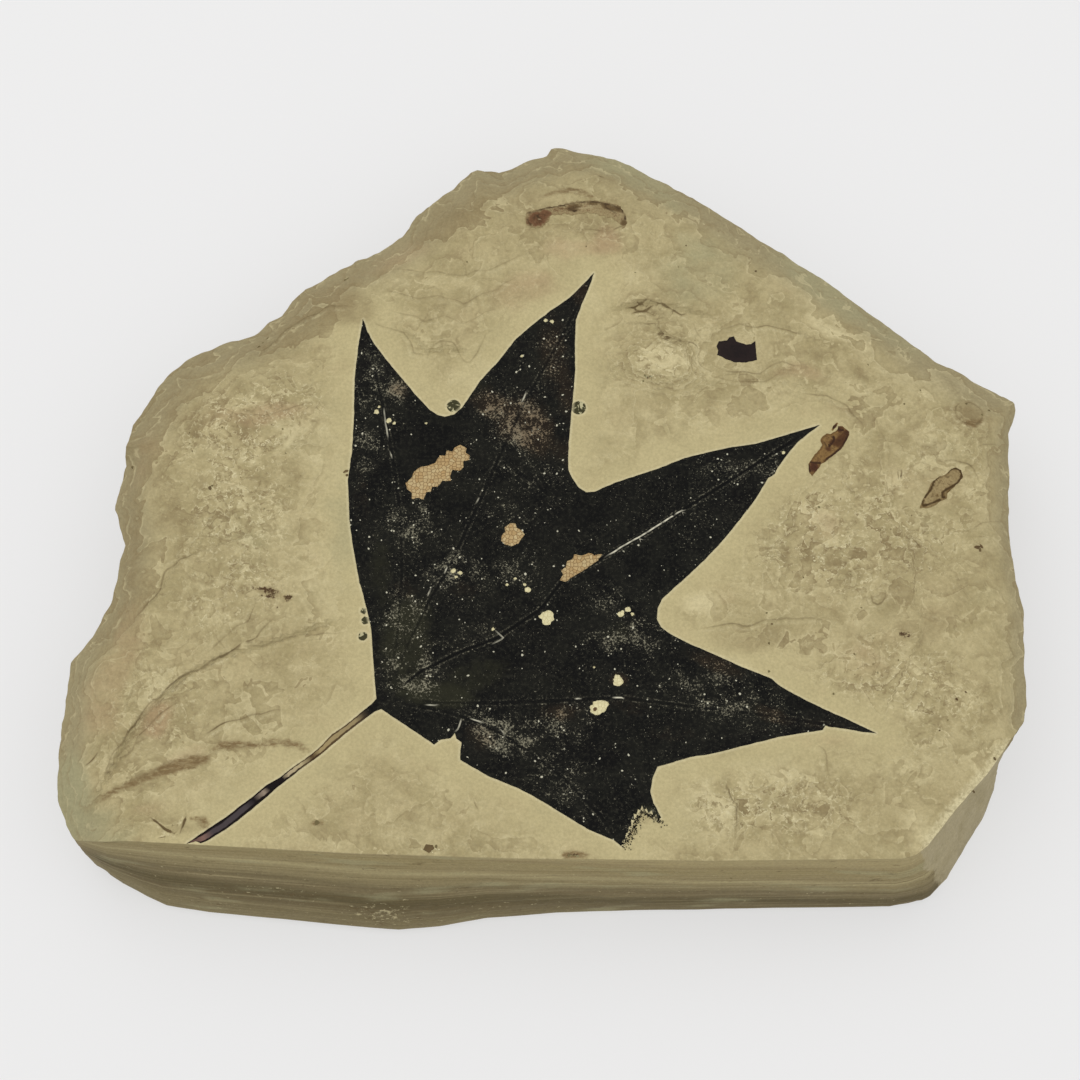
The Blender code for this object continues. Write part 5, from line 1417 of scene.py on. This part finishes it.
    # cut face, broken walls and the corner facet
    height = node(tree, "ShaderNodeSeparateXYZ", {0: place}).outputs
    tilted = timesPlus(tree, height["X"], f["laminaTilt"], height["Z"])
    tilted = timesPlus(tree, minus(tree, bands["Waver"], 0.5), 5.0, tilted)
    side = rampOf(tree, calc(tree, "DIVIDE", tilted, slabShape["face"]), f["laminae"])
    side = tinted(tree, side, f["plain"], ease(tree, bands["Streak"], 0.52, 0.74), 0.3)
    side = tinted(tree, side, f["line"], ease(tree, bands["Streak"], 0.48, 0.26), 0.4)
    side = tinted(tree, side, f["line"], ease(tree, bands["Fine"], 0.45, 0.25), 0.45)
    side = tinted(tree, side, f["plain"], ease(tree, bands["Fine"], 0.55, 0.75), 0.3)
    roughPart = field(tree, "rough")
    grit = noiseNode(tree, stretched(tree, place, (0.8, 0.8, 1.6)), 0.9, 3.0, 0.72)
    sparkle = ease(tree, timesPlus(tree, roughPart, 0.09, grit), 0.64, 0.74)
    side = tinted(tree, side, f["pale"], sparkle, 0.6)
    blots = noiseNode(tree, stretched(tree, place, (0.35, 0.35, 1.0)), 0.8, 3.0, 0.7, 0.4)
    pits = ease(tree, timesPlus(tree, roughPart, -0.1, blots), 0.36, 0.28)
    side = tinted(tree, side, f["line"], pits, 0.65)
    cloud = noiseNode(tree, stretched(tree, place, (0.05, 0.05, 0.25)), 1.0, 2.0, 0.6)
    side = tinted(tree, side, f["green"], ease(tree, cloud, 0.56, 0.7), 0.4)
    brokenShare = minus(tree, 1.0, plus(tree, field(tree, "sawn"), field(tree, "corner")), clamp=True)
    rubble = blendColour(tree, ease(tree, wobble, -0.15, 0.15), f["lipShade"], f["margin"])
    rubbleShare = timesPlus(tree, ease(tree, height["Z"], 8.0, 22.0), 0.45, 0.4)
    side = tinted(tree, side, rubble, brokenShare, rubbleShare)
    facet = blendColour(tree, ease(tree, light, -0.4, 0.4), f["margin"], f["facet"])
    cornerShare = field(tree, "corner")
    side = tinted(tree, side, facet, cornerShare, 0.9)
    crushed = times(tree, cornerShare, minus(tree, 1.0, cornerShare))
    side = tinted(tree, side, f["facet"], ease(tree, crushed, 0.05, 0.22), ease(tree, ragged, -0.3, 0.3))
    colour = tinted(tree, colour, side, wall)
    shade = ease(tree, grain["Grain"], 0.25, 0.75, 0.9, 1.1)
    tree.links.new(toned(tree, colour, shade), shader.inputs["Base Color"])
    middle, play = f["roughness"], f["roughnessPlay"]
    rough = ease(tree, grain["Mottle"], 0.3, 0.7, middle - play, middle + play)
    tree.links.new(rough, shader.inputs["Roughness"])
    shader.inputs["Specular IOR Level"].default_value = f["specular"]

    # low relief in millimetres, all through one bump, which renders quicker than a row of them
    onFace = timesPlus(tree, flow, 0.1, times(tree, broad["Step"], 0.16))
    onWall = timesPlus(tree, bands["Fine"], 0.72, times(tree, minus(tree, sparkle, pits), 0.3))
    relief = timesPlus(tree, onFace, openFace, times(tree, onWall, wall))
    relief = timesPlus(tree, flakes["Step"], times(tree, busy, 0.2), relief)
    relief = timesPlus(tree, grain["Grain"], 0.14, timesPlus(tree, crackWithShadow, -0.1, relief))
    tree.links.new(bump(tree, relief, f["relief"], mm), shader.inputs["Normal"])
    return made


coalFinish = {
    "black": srgb(15, 15, 15), "soft": srgb(27, 27, 24), "fog": srgb(58, 57, 48),
    "dust": srgb(142, 138, 118), "brightDust": srgb(205, 202, 180), "brown": srgb(42, 34, 26),
    "brownDust": srgb(128, 114, 92), "green": srgb(50, 50, 36), "streak": srgb(214, 210, 188),
    "veinCell": 0.6, "brightSize": 0.62, "roughness": (0.5, 0.7), "specular": 0.05, "relief": 0.3,
    # along the stalk from its lower end: colours of its edges and of its core
    "stalkEdge": [
        (0.0, srgb(40, 26, 22)), (0.08, srgb(26, 20, 20)), (0.5, srgb(22, 18, 18)),
        (0.58, srgb(60, 48, 36)), (0.62, srgb(84, 70, 48)), (0.66, srgb(60, 44, 30)),
        (0.74, srgb(88, 70, 46)), (0.92, srgb(72, 58, 42)), (1.0, srgb(36, 32, 28)),
    ],
    "stalkCore": [
        (0.0, srgb(60, 40, 34)), (0.08, srgb(128, 100, 90)), (0.12, srgb(74, 66, 68)),
        (0.3, srgb(72, 66, 68)), (0.35, srgb(26, 22, 24)), (0.4, srgb(150, 134, 118)),
        (0.43, srgb(26, 22, 22)), (0.5, srgb(30, 24, 24)), (0.53, srgb(176, 160, 130)),
        (0.6, srgb(180, 166, 128)), (0.66, srgb(84, 66, 44)), (0.7, srgb(160, 142, 102)),
        (0.9, srgb(150, 134, 98)), (0.95, srgb(70, 60, 46)), (1.0, srgb(40, 36, 30)),
    ],
}


def coalMaterial(groups):
    made, tree, shader = newMaterial("coalFilm")
    f = coalFinish
    place = objectPlace(tree)
    grain = useGroup(tree, groups["grain"], {"Place": place, "Size": 1.0})
    mesh = useGroup(tree, groups["veins"], {"Place": place, "Cell": f["veinCell"]})
    dust = field(tree, "dust")
    flat = stretched(tree, place, (1.0, 1.0, 0.0))
    patchy = times(tree, dust, ease(tree, noiseNode(tree, flat, 0.28, 4.0, 0.7), 0.32, 0.64))
    ragged = times(tree, minus(tree, noiseNode(tree, place, 0.6, 5.0, 0.75), 0.5), 1.6)
    brown = ease(tree, timesPlus(tree, ragged, 0.8, field(tree, "brown")), 0.15, 1.0)
    green = ease(tree, timesPlus(tree, ragged, 0.8, field(tree, "green")), 0.2, 1.1)
    # dust lies as specks of every size, thick in some places and thin in others
    thick = timesPlus(tree, brown, 0.35, patchy)
    fine = noiseNode(tree, flat, 2.3, 3.0, 0.75)
    coarse = noiseNode(tree, flat, 1.3, 4.0, 0.8)
    tiny = ease(tree, timesPlus(tree, thick, 0.15, fine), 0.67, 0.74)
    clumps = ease(tree, timesPlus(tree, thick, 0.13, coarse), 0.69, 0.75)
    bright = useGroup(tree, groups["specks"], {
        "Place": shaken(tree, flat, 1.0 / 1.2, 0.7, 3.0), "Size": f["brightSize"],
        "Amount": timesPlus(tree, patchy, 0.15, 0.003),
    })
    colour = blendColour(tree, ease(tree, grain["Mottle"], 0.36, 0.66), f["black"], f["soft"])
    fog = ease(tree, timesPlus(tree, thick, 0.6, times(tree, ragged, 0.5)), 0.1, 0.9)
    colour = tinted(tree, colour, f["fog"], fog, 0.16)
    weave = noiseNode(tree, flat, 1.25, 3.0, 0.72)
    colour = tinted(tree, colour, f["fog"], ease(tree, weave, 0.46, 0.68), timesPlus(tree, thick, 0.35, 0.28))
    colour = tinted(tree, colour, f["brown"], brown, 0.7)
    colour = tinted(tree, colour, f["green"], green, 0.6)
    dustColour = blendColour(tree, brown, f["dust"], f["brownDust"])
    colour = tinted(tree, colour, dustColour, tiny, 0.85)
    colour = tinted(tree, colour, dustColour, clumps, 0.8)
    colour = tinted(tree, colour, f["brightDust"], bright["Mask"], 0.9)
    veinShare = field(tree, "veinShare")
    veinAway = timesPlus(tree, ragged, 0.1, calc(tree, "ABSOLUTE", field(tree, "veinGap")))
    veinAway = timesPlus(tree, times(tree, veinShare, veinShare), -0.05, veinAway)
    vein = times(tree, ease(tree, veinAway, 0.34, 0.1), veinShare)
    bank = times(tree, ease(tree, calc(tree, "ABSOLUTE", minus(tree, veinAway, 0.5)), 0.25, 0.05), veinShare)
    bank = times(tree, bank, ease(tree, plus(tree, fine, times(tree, ragged, 0.3)), 0.5, 0.62))
    colour = tinted(tree, colour, f["dust"], bank, 0.4)
    colour = tinted(tree, colour, f["black"], vein, 0.9)
    streak = timesPlus(tree, ragged, 0.05, calc(tree, "ABSOLUTE", field(tree, "streakGap")))
    streak = times(tree, ease(tree, streak, 0.2, 0.09), field(tree, "streakShare"))
    dashes = ease(tree, noiseNode(tree, place, 0.55, 2.0, 0.6), 0.3, 0.38)
    colour = tinted(tree, colour, f["streak"], streak, dashes)

    # stalk: thin edges about a core that greys, blackens and opens along it
    wandering = timesPlus(tree, ragged, 0.02, field(tree, "stalkAlong"))
    across = calc(tree, "ABSOLUTE", timesPlus(tree, ragged, 0.3, field(tree, "stalkAcross")))
    edge, core = rampOf(tree, wandering, f["stalkEdge"]), rampOf(tree, wandering, f["stalkCore"])
    stalk = blendColour(tree, ease(tree, across, 0.66, 0.42), edge, core)
    stalk = tinted(tree, stalk, f["fog"], tiny, 0.5)
    colour = tinted(tree, colour, stalk, field(tree, "stalkShare"))
    tree.links.new(colour, shader.inputs["Base Color"])
    tree.links.new(ease(tree, grain["Mottle"], 0.3, 0.7, *f["roughness"]), shader.inputs["Roughness"])
    shader.inputs["Specular IOR Level"].default_value = f["specular"]
    relief = timesPlus(tree, mesh["Vein"], 0.04, times(tree, clumps, 0.06))
    relief = timesPlus(tree, grain["Grain"], 0.1, relief)
    tree.links.new(bump(tree, relief, f["relief"], mm), shader.inputs["Normal"])
    return made


# small films: a body tone, darker shades (first to last tone along the length), and strokes

smallFinishes = {
    "barkStrip": {
        "body": srgb(156, 140, 103), "first": srgb(104, 70, 48), "last": srgb(96, 77, 49),
        "stroke": srgb(70, 54, 36), "pale": srgb(190, 176, 140), "rim": srgb(128, 112, 78),
        "rimShare": 0.15, "shadeShare": 0.9, "roughness": 0.85,
    },
    "leafScrap": {
        "body": srgb(38, 28, 25), "first": srgb(36, 26, 24), "last": srgb(34, 24, 23),
        "stroke": srgb(24, 18, 18), "pale": srgb(70, 60, 52), "rim": srgb(26, 20, 18), "rimShare": 0.6,
        "shadeShare": 1.0, "roughness": 0.7,
    },
    "insectBody": {
        "body": srgb(134, 106, 64), "first": srgb(74, 44, 30), "last": srgb(80, 52, 32),
        "stroke": srgb(58, 38, 25), "pale": srgb(200, 180, 142), "rim": srgb(96, 70, 40),
        "rimShare": 0.7, "shadeShare": 0.95, "roughness": 0.8,
    },
    "wingedInsect": {
        "body": srgb(156, 138, 99), "first": srgb(92, 72, 42), "last": srgb(104, 82, 48),
        "stroke": srgb(74, 57, 34), "pale": srgb(196, 182, 144), "rim": srgb(112, 92, 58),
        "rimShare": 0.55, "shadeShare": 0.85, "roughness": 0.85,
    },
}


def filmMaterial(name, groups):
    made, tree, shader = newMaterial(name)
    f = smallFinishes[name]
    place = objectPlace(tree)
    grain = useGroup(tree, groups["grain"], {"Place": place, "Size": 0.6})
    mottle = minus(tree, grain["Mottle"], 0.5)
    ragged = times(tree, minus(tree, noiseNode(tree, place, 1.1, 4.0, 0.72), 0.5), 1.6)
    shade = timesPlus(tree, ragged, 0.9, field(tree, "shade"))
    colour = blendColour(tree, times(tree, ease(tree, mottle, -0.1, 0.2), 0.4), f["body"], f["rim"])
    blots = noiseNode(tree, place, 1.9, 4.0, 0.78)
    colour = tinted(tree, colour, f["first"], ease(tree, blots, 0.48, 0.66), 0.65)
    edge = timesPlus(tree, ragged, 0.3, field(tree, "rim"))
    colour = tinted(tree, colour, f["rim"], ease(tree, edge, 0.55, 0.1), f["rimShare"])
    dark = blendColour(tree, ease(tree, field(tree, "lengthShare"), 0.2, 0.5), f["first"], f["last"])
    colour = tinted(tree, colour, dark, ease(tree, shade, 0.1, 0.7), f["shadeShare"])
    colour = tinted(tree, colour, f["stroke"], ease(tree, shade, 0.75, 1.2), 0.7)
    away = timesPlus(tree, ragged, 0.14, calc(tree, "ABSOLUTE", field(tree, "strokeGap")))
    drawn = ease(tree, away, 0.36, 0.1)
    stroke = field(tree, "stroke")
    colour = tinted(tree, colour, f["stroke"], drawn, ease(tree, stroke, 0.0, 0.7))
    colour = tinted(tree, colour, f["pale"], drawn, ease(tree, stroke, 0.0, -0.7))
    tone = ease(tree, grain["Grain"], 0.25, 0.75, 0.86, 1.14)
    tree.links.new(toned(tree, colour, tone), shader.inputs["Base Color"])
    shader.inputs["Roughness"].default_value = f["roughness"]
    shader.inputs["Specular IOR Level"].default_value = smallFilmShape["specular"]
    normal = bump(tree, grain["Mottle"], 0.4, 0.0002)
    normal = bump(tree, grain["Grain"], 0.35, 0.00012, normal)
    tree.links.new(normal, shader.inputs["Normal"])
    return made


fleckFinish = {
    # by tint: from the darkest bits of film to cream
    "tones": [
        (0.0, srgb(34, 30, 24)), (0.4, srgb(38, 33, 26)), (0.5, srgb(92, 72, 48)),
        (0.75, srgb(122, 114, 78)), (1.0, srgb(210, 202, 164)),
    ],
    "roughness": 0.8, "specular": 0.15,
}


def fleckMaterial(groups):
    made, tree, shader = newMaterial("flecks")
    grain = useGroup(tree, groups["grain"], {"Place": objectPlace(tree), "Size": 0.4})
    colour = rampOf(tree, timesPlus(tree, field(tree, "tint"), 0.5, 0.5), fleckFinish["tones"])
    tone = ease(tree, grain["Mottle"], 0.3, 0.7, 0.8, 1.2)
    tree.links.new(toned(tree, colour, tone), shader.inputs["Base Color"])
    shader.inputs["Roughness"].default_value = fleckFinish["roughness"]
    shader.inputs["Specular IOR Level"].default_value = fleckFinish["specular"]
    tree.links.new(bump(tree, grain["Grain"], 0.4, 0.0001), shader.inputs["Normal"])
    return made


def dress(piece, material, slot, *nodes):
    piece.data.materials.append(material)
    if nodes:
        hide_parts(*nodes)
    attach(piece, "root")


# setting: floor, light and camera

stageSettings = {
    "floor": srgb(152, 152, 153), "floorHalf": 2500.0, "floorDrop": 0.0002,
    "floorGlow": 0.53,       # as of a lit table, which keeps shadows thin
    "world": 0.83, "worldTint": (1.0, 0.99, 0.97, 1.0),
    # name, power, size and place in metres
    "lights": [("key", 2.8, 1.1, (-0.5, 0.45, 1.1)), ("fill", 1.0, 1.2, (0.7, -0.4, 1.0))],
    "target": (-1.5, -7.0, 20.0), "distance": 600.0, "elevation": 68.0, "lens": 100.0,
}


def setStage():
    s = stageSettings
    bm = bmesh.new()
    bmesh.ops.create_grid(bm, x_segments=1, y_segments=1, size=s["floorHalf"])
    floor = toObject("floor", bm)
    floor.location.z = -s["floorDrop"]
    made, _, shader = newMaterial("paleFloor")
    shader.inputs["Base Color"].default_value = s["floor"]
    shader.inputs["Emission Color"].default_value = (1.0, 1.0, 1.0, 1.0)
    shader.inputs["Emission Strength"].default_value = s["floorGlow"]
    shader.inputs["Roughness"].default_value = 0.9
    floor.data.materials.append(made)
    world = bpy.data.worlds.new("studio")
    world.use_nodes = True
    background = world.node_tree.nodes["Background"].inputs
    background["Color"].default_value = s["worldTint"]
    background["Strength"].default_value = s["world"]
    bpy.context.scene.world = world
    for name, power, size, place in s["lights"]:
        light = bpy.data.lights.new(name, "AREA")
        light.energy = power
        light.size = size
        lamp = bpy.data.objects.new(name, light)
        lamp.location = place
        lamp.rotation_euler = (-Vector(place)).to_track_quat("-Z", "Y").to_euler()
        bpy.context.scene.collection.objects.link(lamp)
    camera = bpy.data.cameras.new("camera")
    camera.lens = s["lens"]
    camera.sensor_width = 36.0
    camera.clip_start = 0.01
    viewer = bpy.data.objects.new("camera", camera)
    lean, (x, y, z) = math.radians(s["elevation"]), s["target"]
    y, z = y - s["distance"] * math.cos(lean), z + s["distance"] * math.sin(lean)
    viewer.location = (x * mm, y * mm, z * mm)
    viewer.rotation_euler = (math.radians(90.0 - s["elevation"]), 0.0, 0.0)
    bpy.context.scene.collection.objects.link(viewer)
    bpy.context.scene.camera = viewer
    bpy.context.scene.view_settings.view_transform = "Standard"


groups = {
    "grain": rockGrainGroup(), "bedding": beddingGroup(), "torn": tornGroup(), "flow": flowGroup(),
    "veins": veinMeshGroup(), "specks": speckGroup(),
}

bm, stations, onTop, rimSawn, rimCorner = buildSlab()
slab = toObject("shaleSlab", bm, slabShape["sharp"])
paintSlab(slab, stations, onTop, rimSawn, rimCorner)
dress(slab, rockMaterial(groups), "slab", "slab")
print("slab done,", len(slab.data.polygons), "faces")

leaf = buildLeaf()
dress(leaf, coalMaterial(groups), "leaf", "leaf")
print("leaf done,", len(leaf.data.polygons), "faces")

for name, nodeName in (
    ("barkStrip", "bark_strip"), ("leafScrap", "leaf_scrap"), ("insectBody", "insect"),
    ("wingedInsect", "winged_insect"),
):
    film = buildSmallFilm(name)
    dress(film, filmMaterial(name, groups), nodeName, nodeName)
print("small films done")

flecks = buildFlecks()
dress(flecks, fleckMaterial(groups), "leaf_scrap")
setStage()
print("stage done")
